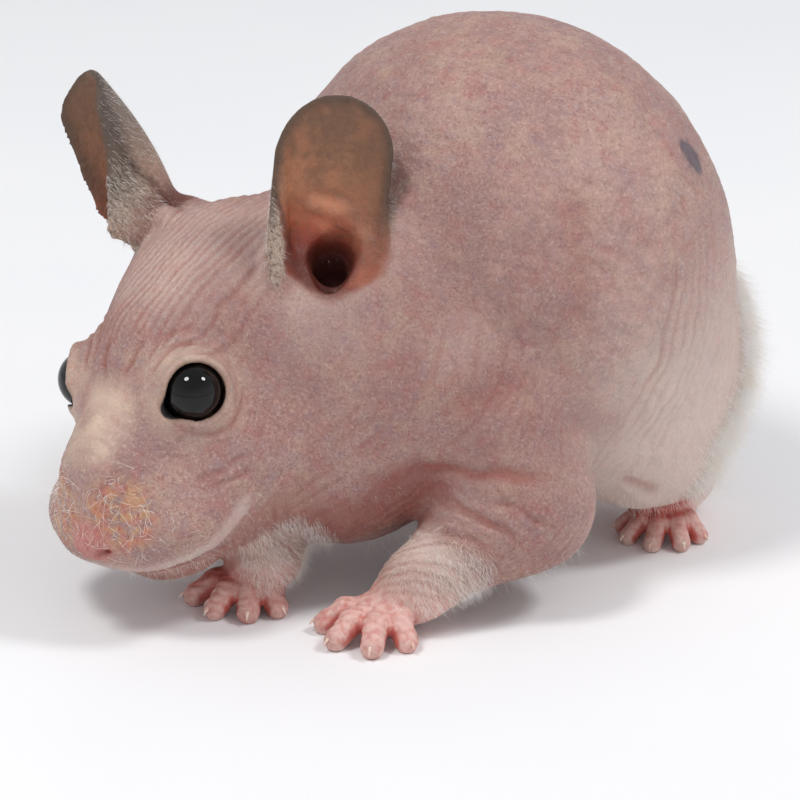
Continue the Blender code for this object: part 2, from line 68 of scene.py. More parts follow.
# The lids' opening, and its small inner corner: the middle's forward and down, half the length and height
LID_OPENINGS = (((-0.2, 0.0), (3.0, 3.2)), ((2.7, -2.1), (0.8, 0.7)))
LID_SINK = 1.45                # how far the lids' ball lies deeper than the eyeball
PAD_PLACE = (16.1, 4.6, -3.9)  # forward, left, up: the middle of a whisker pad's skin
LID_RIM = (3.75, 1.2, 0.5)     # ring round the opening: its radius, how far out it lies, its thickness
OPENING_BLEND = 2.4            # fillet between the opening and its corner
DRAWN_LID_BLEND = 3.4          # the same for the shader's smooth minimum, which blends less
LID_REACH = 1.6                # how far from the eyeball a lid's edge may be

# Ears
EAR_THICK = 0.95
EAR_LOBE = 7.5                 # below this the rims round in to the root
EAR_EDGE = 0.5                 # rounding of the rims
# An ear's root is in the head's frame, its curl is given for the top and for the root, and
# its tip is the height of the rounded top in widths of the ear
EARS = {
    "left": {"side": 1, "root": (-19.6, 14.0, -3.9), "length": 24.5, "width": 13.8,
             "curl": (0.05, 0.12), "tip": 0.5,
             "along": (0.05, 0.06, 0.99), "facing": (0.62, -0.76, 0.05)},
    "right": {"side": -1, "root": (-22.2, -8.7, 1.3), "length": 23.4, "width": 11.6,
              "curl": (0.10, 0.36), "tip": 0.38,
              "along": (-0.44, -0.25, 0.90), "facing": (-0.36, -0.92, 0.12)},
}

# Legs: joints and radii
SOLE_RADIUS, SOLE_HEIGHT = 3.1, 2.6
TOE_SINK = 0.82                # height of a toe's tip, in its radii
FORELEGS = {
    "left": {"shoulder": (11, 19, 26), "elbow": (19, 18.5, 13.5), "wrist": (13.6, 5.4, 5.6),
             "palm": (11.4, 1.6, SOLE_HEIGHT), "heading": 9, "digits": (8.4, 8.6, 8.2, 7.2)},
    "right": {"shoulder": (-16, 15, 25), "elbow": (-17.5, 11.5, 14), "wrist": (-4.9, -1.4, 6.2),
              "palm": (-6.2, -2.0, SOLE_HEIGHT), "heading": 16, "digits": (8.6, 7.8, 7.0, 6.6)},
}
HIND_LEGS = {
    "left": {"knee": (20.5, 42, 14), "ankle": (17.2, 54, 4.8), "ball": (19.3, 48, SOLE_HEIGHT),
             "heading": 22},
    "right": {"knee": (-18.5, 42, 14), "ankle": (-15.2, 54, 4.8), "ball": (-17.3, 48, SOLE_HEIGHT),
              "heading": -22},
}
SHOULDER_RADIUS, ELBOW_RADIUS, WRIST_RADIUS = 10.8, 8.0, 4.3
KNEE_RADIUS, ANKLE_RADIUS = 8.0, 4.1
FORE_SPREAD, HIND_SPREAD = 40, 29          # degrees between neighbouring toes
FORE_TOE, HIND_TOE = 1.45, 1.2             # toe radius
HIND_DIGITS = (7.0, 8.2, 8.6, 8.2, 7.0)
TAIL = ((1.5, 58, 17), (2.5, 69.5, 12.5))
TAIL_RADII = (3.6, 1.5)

# Camera: 800 pixels stand for the film's width
VIEW_AZIMUTH, VIEW_ELEVATION = 40.0, 22.0
FILM_WIDTH = 36
FILM_PX, FOCAL_PX = 800, 3528
ANCHOR = (11, 0, 1)            # this point of the form shows at this pixel, from this far
ANCHOR_PX = (372, 628)
CAMERA_DISTANCE = 420
SIDE_LIGHT, TOP_LIGHT = 0.85, 0.46         # the room's brightness all round and overhead


def vec(*xyz):
    return np.array(xyz, np.float64)


def unit(v):
    return np.asarray(v, np.float64) / np.linalg.norm(v)


def unit_rows(v):
    return v / np.linalg.norm(v, axis=1, keepdims=True)


def fade(x, start, end):
    """0 at start and before it, 1 at end and past it, and smooth between them.  It falls where
    start is the higher."""
    share = np.clip((x - start) / (end - start), 0, 1)
    return share * share * (3 - 2 * share)


def head_axes():
    """Rows: forward, left and up of the head, which looks down and leans to its right."""
    yaw, pitch, roll = (math.radians(a) for a in (HEAD_YAW, HEAD_PITCH, HEAD_ROLL))
    level = vec(math.sin(yaw), -math.cos(yaw), 0)
    left = vec(math.cos(yaw), math.sin(yaw), 0)
    forward = level * math.cos(pitch) - vec(0, 0, math.sin(pitch))
    up = np.cross(forward, left)
    lean = math.cos(roll), math.sin(roll)
    return np.array([forward, left * lean[0] + up * lean[1], up * lean[0] - left * lean[1]])


HEAD = head_axes()


def head_point(forward, left, up):
    return HEAD_PLACE + vec(forward, left, up) @ HEAD


def in_head(p):
    return (p - HEAD_PLACE) @ HEAD.T


# Forms of the distance field

def ellipsoid(p, centre, radii, axes=None):
    q = p - centre
    if axes is not None:
        q = q @ axes.T
    near = np.linalg.norm(q / radii, axis=-1)
    slope = np.linalg.norm(q / np.square(radii), axis=-1)
    return near * (near - 1) / np.maximum(slope, 1e-9)


def ball(p, centre, radius):
    return np.linalg.norm(p - centre, axis=-1) - radius


def along_limb(p, a, b):
    """How far along from a to b each point is, from 0 to 1, and its distance to that line."""
    a, b = vec(*a), vec(*b)
    along = b - a
    share = np.clip((p - a) @ along / (along @ along), 0, 1)
    return share, np.linalg.norm(p - a - share[..., None] * along, axis=-1)


def limb(p, a, b, radius_a, radius_b):
    """A round cone from a to b."""
    share, gap = along_limb(p, a, b)
    return gap - (radius_a + (radius_b - radius_a) * share)


def join(a, b, soft):
    """Both forms, with a fillet of about this size between them."""
    step = np.maximum(soft - np.abs(a - b), 0) / soft
    return np.minimum(a, b) - step * step * soft / 4


def meet(a, b, soft):
    """What both forms share, with its edge rounded by about this much."""
    step = np.maximum(soft - np.abs(a - b), 0) / soft
    return np.maximum(a, b) + step * step * soft / 4


def carve(a, b, soft):
    """Form a without form b, with its rim rounded by about this much."""
    return meet(a, -b, soft)


def change(d, p, middle, reach, soft, step):
    """Apply step(d, p) where a form within reach of middle may matter."""
    near = ball(p, middle, reach) < np.maximum(d, 0) + soft
    if near.any():
        d[near] = step(d[near], p[near])
    return d


def head_oval(p, place, radii):
    return ellipsoid(p, head_point(*place), radii, HEAD)


def head_limb(p, a, b, radius_a, radius_b):
    return limb(p, head_point(*a), head_point(*b), radius_a, radius_b)


# Head

def skull(p):
    d = head_oval(p, (-13.5, 0, -3.5), (16, 12, 12.3))
    d = join(d, head_limb(p, (-4, 0, -1.8), (9.4, 0, -5.4), 7.7, 8.0), 5)
    d = join(d, head_oval(p, (11.8, 0, -9.6), (7.0, 13.0, 6.6)), 3)
    for side in (1, -1):
        cheek = head_oval(p, (-2, side * 7.6, -12.5), (13.5, 7.8, 9.6))
        lip = head_limb(p, (3, side * 4.6, -8.5), (11, side * 3.6, -9.5), 5.8, 4.0)
        whisker_pad = head_oval(p, (14.3, side * 4.4, -8.6), (4.5, 4.1, 3.9))
        d = join(join(join(d, cheek, 5), lip, 3), whisker_pad, 1.2)
    chin = head_oval(p, (8.3, 0, -15.9), (7.6, 8.8, 4.7))
    lower_jaw = join(chin, head_limb(p, (8, 0, -17.4), (0, 0, -18.5), 3.2, 6.4), 3)
    nose = head_oval(p, (18.8, 0, -6.5), (1.6, 2.2, 1.9))
    return join(join(d, lower_jaw, 0.8), nose, 1.8)


def eye_centre(side):
    forward, left, up = EYE_PLACE
    return head_point(forward, side * left, up)


def eye_axes(side):
    """Rows: along the lids towards the nose, down, and out of the head."""
    out = unit(vec(0.34, side * 0.86, 0.38))
    inner = vec(0.93, 0, -0.36)
    inner = unit(inner - out * (inner @ out))
    return np.array([inner, np.cross(out, inner) * side, out]) @ HEAD


def lid_opening(p, side):
    """A round opening drawn out to a small corner at its lower front."""
    q = (p - eye_centre(side)) @ eye_axes(side).T
    ovals = []
    for (forward, down), (length, height) in LID_OPENINGS:
        step = np.hypot((q[..., 0] - forward) / length, (q[..., 1] - down) / height)
        ovals.append((step - 1) * height)
    return np.maximum(join(*ovals, OPENING_BLEND), 0.5 - q[..., 2])


def lid_rim(p, side):
    """A rounded rim, so that the lids aren't thin at their edge."""
    radius, out, thick = LID_RIM
    q = (p - eye_centre(side)) @ eye_axes(side).T
    forward, down = LID_OPENINGS[0][0]
    ring = np.hypot(q[..., 0] - forward, q[..., 1] - down) - radius
    return np.hypot(ring, q[..., 2] - out) - thick


def with_lids(d, p, side):
    centre = eye_centre(side)
    lids = ball(p, centre - LID_SINK * eye_axes(side)[2], EYE_RADIUS + LID)
    d = join(join(d, lids, LID_BLEND), lid_rim(p, side), 0.8)
    d = carve(d, lid_opening(p, side), 0.35)
    return carve(d, ball(p, centre, EYE_RADIUS + SOCKET), 0.1)


def with_mouth(d, p):
    """The line of the mouth, the nostrils, and the groove from the nose to the lip."""
    under_nose = (18.0, 0, -13.0)
    for side in (1, -1):
        line = [under_nose, (17.4, side * 4.0, -12.7), (16.0, side * 8.6, -12.4),
                (14.0, side * 11.5, -12.5), (9.9, side * 11.7, -15.1)]
        for start, end in zip(line, line[1:]):
            d = carve(d, head_limb(p, start, end, 0.5, 0.5), 0.4)
        d = carve(d, head_limb(p, (20.7, side * 1.1, -6.6), (18.6, side * 2.2, -7.2), 0.55, 0.45), 0.3)
    return carve(d, head_limb(p, (20.4, 0, -8.0), under_nose, 0.3, 0.4), 0.4)


# Ears

def ear_frame(ear):
    """The ear's root, and rows: across it, out of its cup, and along it."""
    along = unit(ear["along"])
    across = unit(np.cross(along, ear["facing"]))
    return head_point(*ear["root"]), np.array([across, np.cross(across, along), along])


def ear_half_width(share, ear):
    """Half the ear's width, where share is 0 at the root and 1 at the top."""
    return ear["width"] / 2 * (0.88 + 0.12 * np.sin(np.pi / 2 * np.clip(share / 0.6, 0, 1)))


def ear_lean(share, ear):
    """How far the ear's outline lies to the side of its axis: towards the front at the root."""
    return -ear["side"] * 1.2 * (1 - share) ** 1.5


def ear_cup(share, across, ear):
    """How far the ear's sheet stands forward of its axis, and how tightly it curls there."""
    top, root = ear["curl"]
    curl = top + (root - top) * (1 - share)
    return curl * across * across - 1.6 * np.sin(np.pi * share) - 0.6, curl


def in_ear_frame(p, ear):
    """Across the ear, out of its cup and along it, and its share of the ear's length."""
    root, axes = ear_frame(ear)
    q = (p - root) @ axes.T
    return q, np.clip(q[..., 2] / ear["length"], 0, 1)


def ear_outline(q, share, ear):
    """Distance to the ear's outline, as seen from in front of its cup."""
    above = np.maximum(q[..., 2] - ear["length"] + ear["tip"] * ear["width"], 0) / (2 * ear["tip"])
    below = 0.95 * np.maximum(EAR_LOBE - q[..., 2], 0)
    return np.hypot(q[..., 0] - ear_lean(share, ear), above + below) - ear_half_width(share, ear)


def ear_sheet(p, ear):
    q, share = in_ear_frame(p, ear)
    forward, curl = ear_cup(share, q[..., 0], ear)
    slope = np.hypot(1, 2 * curl * q[..., 0])
    thick = EAR_THICK / 2 * (1.5 - 0.6 * share)
    sheet = np.abs(q[..., 1] - forward) / slope - thick
    return meet(sheet, 0.85 * np.maximum(ear_outline(q, share, ear), -q[..., 2] - 3), EAR_EDGE)


def on_ear(share, across, lift, ear):
    """A point this far inside the cup from the ear's sheet."""
    root, axes = ear_frame(ear)
    forward, curl = ear_cup(share, across, ear)
    tilt = unit(vec(-2 * curl * across, 1, 0))
    return root + (vec(across, forward, share * ear["length"]) + lift * tilt) @ axes


def ear_rim(p, ear):
    """The front rim, folded in over the cup up to most of the ear's height."""
    d = np.full(p.shape[:-1], np.inf)
    last = None
    for share in (0.2, 0.3, 0.4, 0.5, 0.6, 0.72):
        fold = 1 - (share - 0.2) / 0.52
        half = float(ear_half_width(share, ear))
        across = float(ear_lean(share, ear)) - ear["side"] * (0.92 - 0.1 * fold) * half
        here = on_ear(share, across, 0.8 * fold, ear)
        radius = 0.4 + 0.7 * fold
        if last is not None:
            d = np.minimum(d, limb(p, last, here, last_radius, radius))
        last, last_radius = here, radius
    return d


def in_ear(across, forward, along, ear):
    """A point of the ear's own frame: towards the rear rim, out of the cup, and up from the root."""
    root, axes = ear_frame(ear)
    return root + vec(ear["side"] * across, forward, along) @ axes


def ear_ridge(p, ear):
    """The low ridge across the cup, above its hollow."""
    return limb(p, on_ear(0.44, -2.6, 0.4, ear), on_ear(0.40, 2.8, 0.4, ear), 0.55, 0.55)


def ear_hole(p, ear):
    """The hollow from the cup down to its notch, and the canal behind it."""
    slot = limb(p, in_ear(0.0, 3.4, 7.0, ear), in_ear(1.3, 4.2, -1.4, ear), 3.4, 0.8)
    canal = limb(p, in_ear(0.2, 1.5, 4.6, ear), in_ear(0.7, -1.9, 0.2, ear), 2.6, 1.7)
    return join(slot, canal, 1.0)


def with_ear(d, p, ear):
    axes = ear_frame(ear)[1]
    d = join(d, join(ear_sheet(p, ear), ear_rim(p, ear), 1.0), 1.8)
    floor = ellipsoid(p, in_ear(0, -0.8, -1.0, ear), (5.6, 4.6, 5.6), axes)
    d = join(join(d, floor, 2.0), ear_ridge(p, ear), 1.4)
    front_knob = ellipsoid(p, in_ear(-5.4, 2.4, 2.4, ear), (1.9, 1.6, 2.6), axes)
    rear_knob = ellipsoid(p, in_ear(3.4, 3.2, 1.4, ear), (1.5, 1.5, 2.6), axes)
    d = join(join(d, front_knob, 1.8), rear_knob, 1.6)
    return carve(d, ear_hole(p, ear), 1.0)


# Trunk

def torso(p):
    d = ellipsoid(p, (0, 37.6, 34.6), (31, 25.8, 31))
    d = join(d, ellipsoid(p, (-4, 16, 25), (17.5, 17.5, 17.5)), 7)
    d = join(d, ellipsoid(p, (-2.5, 9.5, 17.5), (12, 11, 11.5)), 5)
    for side in (1, -1):
        haunch = ellipsoid(p, (side * 14.2, 46, 22.3), (13.8, 16.6, 17.2))
        d = join(d, haunch, 4)
    neck = limb(p, (-7, 18, 33), head_point(-16, 0, -8), 16, 12.5)
    throat = limb(p, (2, 14, 24), head_point(-6, 4, -15), 12, 8)
    return join(join(d, neck, 6), throat, 5)


# Legs and feet

def foreleg(p, leg):
    upper = limb(p, leg["shoulder"], leg["elbow"], SHOULDER_RADIUS, ELBOW_RADIUS)
    lower = limb(p, leg["elbow"], leg["wrist"], ELBOW_RADIUS - 0.4, WRIST_RADIUS)
    return join(upper, lower, 4)


def toe_joints(palm, heading, spread, lengths, thick):
    """Where each toe's knuckle and tip are, and which way the toe points."""
    listed = []
    for number, length in enumerate(lengths):
        turn = math.radians(heading + spread * (number - (len(lengths) - 1) / 2))
        way = vec(math.sin(turn), -math.cos(turn), 0)
        knuckle = palm + way * length * 0.52
        tip = palm + way * (length - thick)
        knuckle[2], tip[2] = 2 * thick, thick * TOE_SINK
        listed.append((knuckle, tip, way))
    return listed


def toes(p, palm, heading, spread, lengths, thick):
    """Toes fanned out round the palm, each arched down to its tip."""
    d = np.full(p.shape[:-1], np.inf)
    for knuckle, tip, way in toe_joints(palm, heading, spread, lengths, thick):
        toe = limb(p, palm + way * 1.2, knuckle, thick * 1.35, thick * 1.12)
        toe = join(toe, limb(p, knuckle, tip, thick * 1.1, thick), 0.5)
        d = join(d, toe, 0.4)
    return d


def forefoot(p, leg):
    palm = limb(p, leg["wrist"], leg["palm"], WRIST_RADIUS - 0.1, SOLE_RADIUS)
    fan = toes(p, leg["palm"], leg["heading"], FORE_SPREAD, leg["digits"], FORE_TOE)
    return join(palm, fan, 0.9)


def hind_leg(p, leg):
    return limb(p, leg["knee"], leg["ankle"], KNEE_RADIUS, ANKLE_RADIUS)


def hind_foot(p, leg):
    sole = limb(p, leg["ankle"], leg["ball"], ANKLE_RADIUS - 0.3, SOLE_RADIUS)
    fan = toes(p, leg["ball"], leg["heading"], HIND_SPREAD, HIND_DIGITS, HIND_TOE)
    return join(sole, fan, 0.9)


# The whole form

def body(p):
    d = torso(p)
    d = change(d, p, head_point(-2, 0, -7), 27, 5, lambda d, p: join(d, skull(p), 5))
    for leg in FORELEGS.values():
        d = change(d, p, leg["elbow"], 26, 4, lambda d, p: join(d, foreleg(p, leg), 3.5))
        d = change(d, p, leg["palm"], 11, 2, lambda d, p: join(d, forefoot(p, leg), 1.5))
    for leg in HIND_LEGS.values():
        d = change(d, p, leg["knee"], 19, 4, lambda d, p: join(d, hind_leg(p, leg), 4))
        d = change(d, p, leg["ball"], 12, 2, lambda d, p: join(d, hind_foot(p, leg), 1.5))
    for ear in EARS.values():
        root, axes = ear_frame(ear)
        middle = root + vec(0, 0, 10) @ axes
        d = change(d, p, middle, 19, 3, lambda d, p: with_ear(d, p, ear))
    d = change(d, p, TAIL[0], 15, 3, lambda d, p: join(d, limb(p, *TAIL, *TAIL_RADII), 3))
    for side in (1, -1):
        d = change(d, p, eye_centre(side), 8, LID_BLEND, lambda d, p: with_lids(d, p, side))
    d = change(d, p, head_point(14, 0, -11), 14, 1, with_mouth)
    return np.maximum(d, -p[..., 2])


# Meshing the field

BOX_LOW = vec(-43.5, -24.5, -1.2)
BOX_HIGH = vec(34, 73.5, 69)
BLOCK = 6                      # grid cells along one side of a coarse block
BATCH = 900                    # blocks worked out at once
CORNERS = [(i, j, k) for i in (0, 1) for j in (0, 1) for k in (0, 1)]
EDGES = [(a, b) for a in range(8) for b in range(a + 1, 8)
         if sum(abs(m - n) for m, n in zip(CORNERS[a], CORNERS[b])) == 1]


def sample(field, step):
    """The field on a grid, worked out in full only in the blocks that the surface may cross."""
    size = step * BLOCK
    count = np.ceil((BOX_HIGH - BOX_LOW) / size).astype(int)
    middles = [BOX_LOW[i] + (np.arange(count[i]) + 0.5) * size for i in range(3)]
    coarse = field(np.stack(np.meshgrid(*middles, indexing="ij"), -1).reshape(-1, 3)).reshape(count)
    grid = np.where(coarse < 0, -size, size).astype(np.float32)
    for axis in range(3):
        grid = np.repeat(grid, BLOCK, axis)
    inner = np.stack(np.meshgrid(*[np.arange(BLOCK)] * 3, indexing="ij"), -1).reshape(-1, 3)
    near = np.argwhere(np.abs(coarse) < 1.4 * size)
    for blocks in np.array_split(near, len(near) // BATCH + 1):
        cells = (blocks[:, None] * BLOCK + inner).reshape(-1, 3)
        grid[tuple(cells.T)] = field(BOX_LOW + (cells + 0.5) * step)
    return grid


def sheets_by_corners():
    """For each set of inside corners of a cell: which of its surface sheets crosses each edge."""
    faces = []
    for axis in range(3):
        for value in (0, 1):
            ring = [(0, 0), (0, 1), (1, 1), (1, 0)]
            corners = [tuple(pair[:axis]) + (value,) + tuple(pair[axis:]) for pair in ring]
            faces.append([CORNERS.index(c) for c in corners])
    table = np.full((256, 12), -1)
    for code in range(256):
        inside = [code >> n & 1 for n in range(8)]
        sheet = {e: e for e, (a, b) in enumerate(EDGES) if inside[a] != inside[b]}
        for face in faces:
            ring = [EDGES.index(tuple(sorted((face[n], face[(n + 1) % 4])))) for n in range(4)]
            crossed = [e for e in ring if e in sheet]
            pairs = [crossed] if len(crossed) == 2 else []
            if len(crossed) == 4:
                pairs = [(ring[n - 1], ring[n]) for n in range(4) if inside[face[n]]]
            for one, other in pairs:
                old, new = sheet[one], sheet[other]
                sheet = {e: new if s == old else s for e, s in sheet.items()}
        names = sorted(set(sheet.values()))
        for edge, s in sheet.items():
            table[code, edge] = names.index(s)
    return table


SHEETS = sheets_by_corners()


def surface(grid, step):
    """Points and four-sided faces of the grid's zero level, one point for each sheet in a cell."""
    inside = grid < 0
    shape = [n - 1 for n in grid.shape]
    code = sum(inside[i:i + shape[0], j:j + shape[1], k:k + shape[2]].astype(np.int32) << n
               for n, (i, j, k) in enumerate(CORNERS))
    cells = np.argwhere((code > 0) & (code < 255))
    codes = code[tuple(cells.T)]
    sheets = SHEETS.max(1) + 1
    first = np.zeros(code.shape, np.int32)
    first[tuple(cells.T)] = np.cumsum(sheets[codes]) - sheets[codes]
    count = int(sheets[codes].sum())
    total = np.zeros((count, 3))
    hits = np.zeros(count)
    values = [grid[tuple((cells + corner).T)] for corner in CORNERS]
    for edge, (a, b) in enumerate(EDGES):
        crossed = SHEETS[codes, edge] >= 0
        low, high = values[a][crossed], values[b][crossed]
        share = (low / (low - high))[:, None]
        point = cells[crossed] + vec(*CORNERS[a]) * (1 - share) + vec(*CORNERS[b]) * share
        owner = first[tuple(cells[crossed].T)] + SHEETS[codes[crossed], edge]
        for axis in range(3):
            total[:, axis] += np.bincount(owner, point[:, axis], count)
        hits += np.bincount(owner, minlength=count)
    points = BOX_LOW + (total / hits[:, None] + 0.5) * step
    quads = []
    for axis in range(3):
        u, v = (axis + 1) % 3, (axis + 2) % 3
        here = [slice(1, -1)] * 3
        here[axis] = slice(0, -1)
        ahead = list(here)
        ahead[axis] = slice(1, None)
        starts = np.argwhere(inside[tuple(here)] != inside[tuple(ahead)])
        starts[:, [u, v]] += 1
        ring = []
        for du, dv in ((1, 1), (0, 1), (0, 0), (1, 0)):
            low_corner = [0, 0, 0]
            low_corner[u], low_corner[v] = du, dv
            high_corner = list(low_corner)
            high_corner[axis] = 1
            edge = EDGES.index((CORNERS.index(tuple(low_corner)), CORNERS.index(tuple(high_corner))))
            cell = tuple((starts - low_corner).T)
            ring.append(first[cell] + SHEETS[code[cell], edge])
        quad = np.stack(ring, 1)
        flip = ~inside[tuple(starts.T)]
        quad[flip] = quad[flip][:, ::-1]
        quads.append(quad)
    return points, np.concatenate(quads)


def field_slope(field, p, d):
    """Which way the field grows at each point."""
    reach = 0.06
    ahead = [field(p + reach * axis) for axis in np.eye(3)]
    return (np.stack(ahead, -1) - d[:, None]) / reach


def settle(field, p, rounds=2):
    """Move points onto the field's surface.  Returns them and the surface's normals."""
    longest = 0.2
    for _ in range(rounds):
        d = field(p)
        slope = field_slope(field, p, d)
        steep = np.maximum((slope * slope).sum(1), 0.3)
        p = p - (np.clip(d, -longest, longest) / steep)[:, None] * slope
    return p, unit_rows(slope)


# Repeatable noise

def chance(cell, seed):
    """A repeatable number from 0 to 1 for each whole-number cell."""
    cell = cell.astype(np.int64)
    mixed = cell[..., 0] * 73856093 ^ cell[..., 1] * 19349663 ^ cell[..., 2] * 83492791 ^ seed * 40503
    mixed = mixed & 0x7FFFFFFF
    mixed = (mixed ^ mixed >> 15) * 739982445 & 0x7FFFFFFF
    mixed = (mixed ^ mixed >> 12) * 695872825 & 0x7FFFFFFF
    return (mixed ^ mixed >> 15) / 0x7FFFFFFF


def noise(p, seed):
    """Smooth noise from -1 to 1, with features one unit across."""
    base = np.floor(p)
    f = p - base
    f = f * f * (3 - 2 * f)
    total = 0
    for corner in CORNERS:
        weight = np.prod(np.where(corner, f, 1 - f), axis=-1)
        total = total + weight * chance(base + corner, seed)
    return total * 2 - 1


def lumps(p, seed):
    """Round lumps about one unit apart: 1 at a lump's middle, 0 between lumps."""
    base = np.floor(p)
    nearest = np.full(len(p), np.inf)
    for offset in itertools.product((-1, 0, 1), repeat=3):
        cell = base + offset
        middle = cell + 0.1 + 0.8 * np.stack([chance(cell, seed + k) for k in range(3)], -1)
        nearest = np.minimum(nearest, np.linalg.norm(p - middle, axis=1))
    return np.clip(1 - nearest / 0.85, 0, 1)


# Folds of the skin.  Each gives a phase, with a crease at each whole number, and a weight

def forehead_lines(q, n):
    """Long lines from between the eyes back over the head, drawn towards the left ear."""
    forward, left, _ = q.T
    drawn = (5.2 - 0.45 * np.clip(left, 0, 5)) * fade(forward, -2, -19)
    weight = fade(n @ HEAD[2], 0.0, 0.4) * fade(forward, -30, -24) * fade(forward, 0, -4)
    return (left - drawn) / 1.12, weight * fade(np.abs(left), 14, 11)


def eye_rings(p, side):
    """Faint rings round an eye, deepest above and behind it."""
    out = p - eye_centre(side)
    far = np.linalg.norm(out, axis=1)
    local = out @ eye_axes(side).T
    turned = 0.65 + 0.35 * (local[:, 1] - local[:, 0]) / np.maximum(far, 1)
    return (far - 4.25) / 1.15, fade(far, 4.6, 5.2) * fade(far, 10.5, 6) * turned


def cheek_lines(q):
    """Fine lines along the cheeks, from the lips back."""
    forward, left, up = q.T
    weight = fade(np.abs(left), 4, 8) * fade(up, -2, -6) * fade(forward, 12, 5)
    return (up + 0.35 * forward) / 1.35, weight * fade(forward, -24, -18)


def muzzle_lines(q, n):
    forward = q[:, 0]
    return forward / 1.5, 0.6 * fade(forward, 3, 7) * fade(forward, 15, 12) * fade(n @ HEAD[2], 0.2, 0.6)


def jaw_lines(q):
    forward, left, up = q.T
    return forward / 1.15 + 0.3 * np.abs(left), fade(up, -13.2, -14.5) * fade(forward, -6, 0)


def neck_rings(q):
    """Rings round the neck, between the ears and the shoulders."""
    forward, _, up = q.T
    return (forward - 0.12 * up) / 2.3, fade(forward, -15, -22) * fade(forward, -48, -38)


def flank_lines(p):
    """Long parallel lines down the rear of the flanks."""
    left, back, up = p.T
    drawn = back - 0.24 * up
    weight = fade(drawn, 21, 24) * fade(drawn, 33, 29) * fade(up, 11, 19)
    return drawn / 1.65, weight * fade(up, 50, 40) * fade(np.abs(left), 16, 22)


def rump_lines(p):
    left, back, up = p.T
    weight = fade(back, 44, 52) * fade(up, 52, 40) * fade(up, 4, 8)
    return np.arctan2(back - 36, left) * 15, 0.8 * weight


def limb_rings(p, a, b, radius, spacing):
    """Rings round a limb."""
    share, gap = along_limb(p, a, b)
    length = np.linalg.norm(vec(*b) - vec(*a))
    weight = fade(radius + 1.6 - gap, 0, 0.8) * fade(share, 0.02, 0.15) * fade(share, 1.0, 0.98)
    return share * length / spacing, weight


def toe_rings(p, palm):
    far = np.linalg.norm((p - palm) * (1, 1, 0.5), axis=1)
    return far / 0.62, fade(far, 2.6, 3.4) * fade(far, 12, 9) * fade(p[:, 2], 4.5, 3.5)


def crease(p, phase, weight, breaks, seed):
    """How deep each point is in a crease, from 0 to 1: creases wander, differ and break off."""
    wander = phase + 0.42 * noise(p / 5, seed) + 0.22 * noise(p / 1.8, seed + 1)
    number = np.round(wander)
    own = 0.3 + 0.7 * chance(np.stack([number, number * 0, number * 0], -1), seed + 2)
    unbroken = fade(noise(p / 4.2, seed + 3), breaks - 0.7, breaks)
    return own * unbroken * weight * np.exp(-((wander - number) / 0.21) ** 2)


# Folds that show singly: the line's points, its depth, half-width, and its redness with painted shade.
# Those of the head are in the head's frame, for its left side, and the right side mirrors them
HEAD_FOLDS = {
    "brow": (((2.3, 5.1, 4.4), (0.9, 5.6, 5.0), (-1.7, 6.4, 5.4), (-3.9, 8.1, 4.6), (-4.8, 9.3, 3.3)),
             0.34, 0.30, 0.6),
    "outer_brow": (((1.6, 4.0, 5.0), (-1.6, 4.7, 6.2), (-4.6, 6.6, 5.9), (-6.4, 9.4, 3.6)),
                   0.2, 0.3, 0.4),
    "inner_brow": (((3.2, 1.2, 4.4), (1.0, 2.1, 5.3), (-0.8, 2.5, 5.9), (-3.4, 2.9, 6.9)),
                   0.42, 0.34, 0.6),
    "lower_lid": (((-4.1, 11.9, -1.5), (-1.4, 12.5, -3.6), (1.0, 12.1, -3.9), (3.5, 10.9, -2.8),
                   (4.9, 9.3, -1.0)), 0.26, 0.30, 0.6),
    "cheek_upper": (((10.7, 10.4, -5.3), (8.5, 11.2, -5.9), (5.6, 12.4, -6.7), (3.6, 13.3, -7.3),
                     (1.8, 14.4, -8.3)), 0.26, 0.36, 0.4),
    "cheek_lower": (((10.6, 11.0, -5.7), (7.8, 12.3, -7.1), (5.1, 13.5, -8.6), (2.8, 14.7, -10.1)),
                    0.22, 0.32, 0.3),
    "muzzle": (((15.8, 0.3, -0.6), (14.9, 2.9, -0.4), (13.3, 4.4, 0.1), (12.0, 5.2, 0.1)),
               0.18, 0.4, 0.4),
}
BODY_FOLDS = {
    "armpit": (((10.8, 4.8, 19.3), (13.7, 8.2, 19.6), (17.7, 9.8, 19.5), (22.8, 12.5, 19.7),
                (26.6, 17.7, 17.8)), 0.4, 0.8, 0.8),
    "arm_top": (((11.0, 8.8, 13.1), (15.3, 8.8, 15.3), (18.2, 8.7, 15.1), (21.4, 9.5, 14.2),
                 (23.6, 10.7, 12.9), (24.7, 12.4, 10.2)), 0.5, 0.5, 0.6),
    "arm_outer": (((19.3, 9.4, 16.2), (23.0, 11.3, 16.4), (25.5, 12.9, 15.0), (26.6, 14.2, 13.1)),
                  0.32, 0.45, 0.4),
    "arm_low": (((14.7, 5.9, 11.9), (16.5, 6.9, 12.7), (18.9, 7.5, 12.4), (20.7, 8.3, 11.6),
                 (22.0, 9.5, 9.8)), 0.4, 0.42, 0.4),
    "groin": (((22.5, 32.0, 13.6), (24.5, 34.8, 11.9), (26.2, 37.2, 10.9)), 0.4, 0.8, 0.5),
    "flank": (((19.6, 25.6, 53.5), (21.4, 24.4, 50.5), (23.1, 22.9, 45.6), (24.1, 22.2, 40.6),
               (24.9, 22.2, 36.0), (24.9, 22.3, 31.5)), 0.95, 2.2, 0.3),
    "elbow": (((23.5, 18.7, 23.8), (24.4, 24.4, 23.6), (25.7, 28.4, 22.0)), 0.4, 1.7, 0.15),
    "shoulder": (((14.5, 7.5, 26.5), (18.3, 12.4, 28.4), (21.5, 17.7, 31.0)), 0.45, 1.9, 0.3),
}


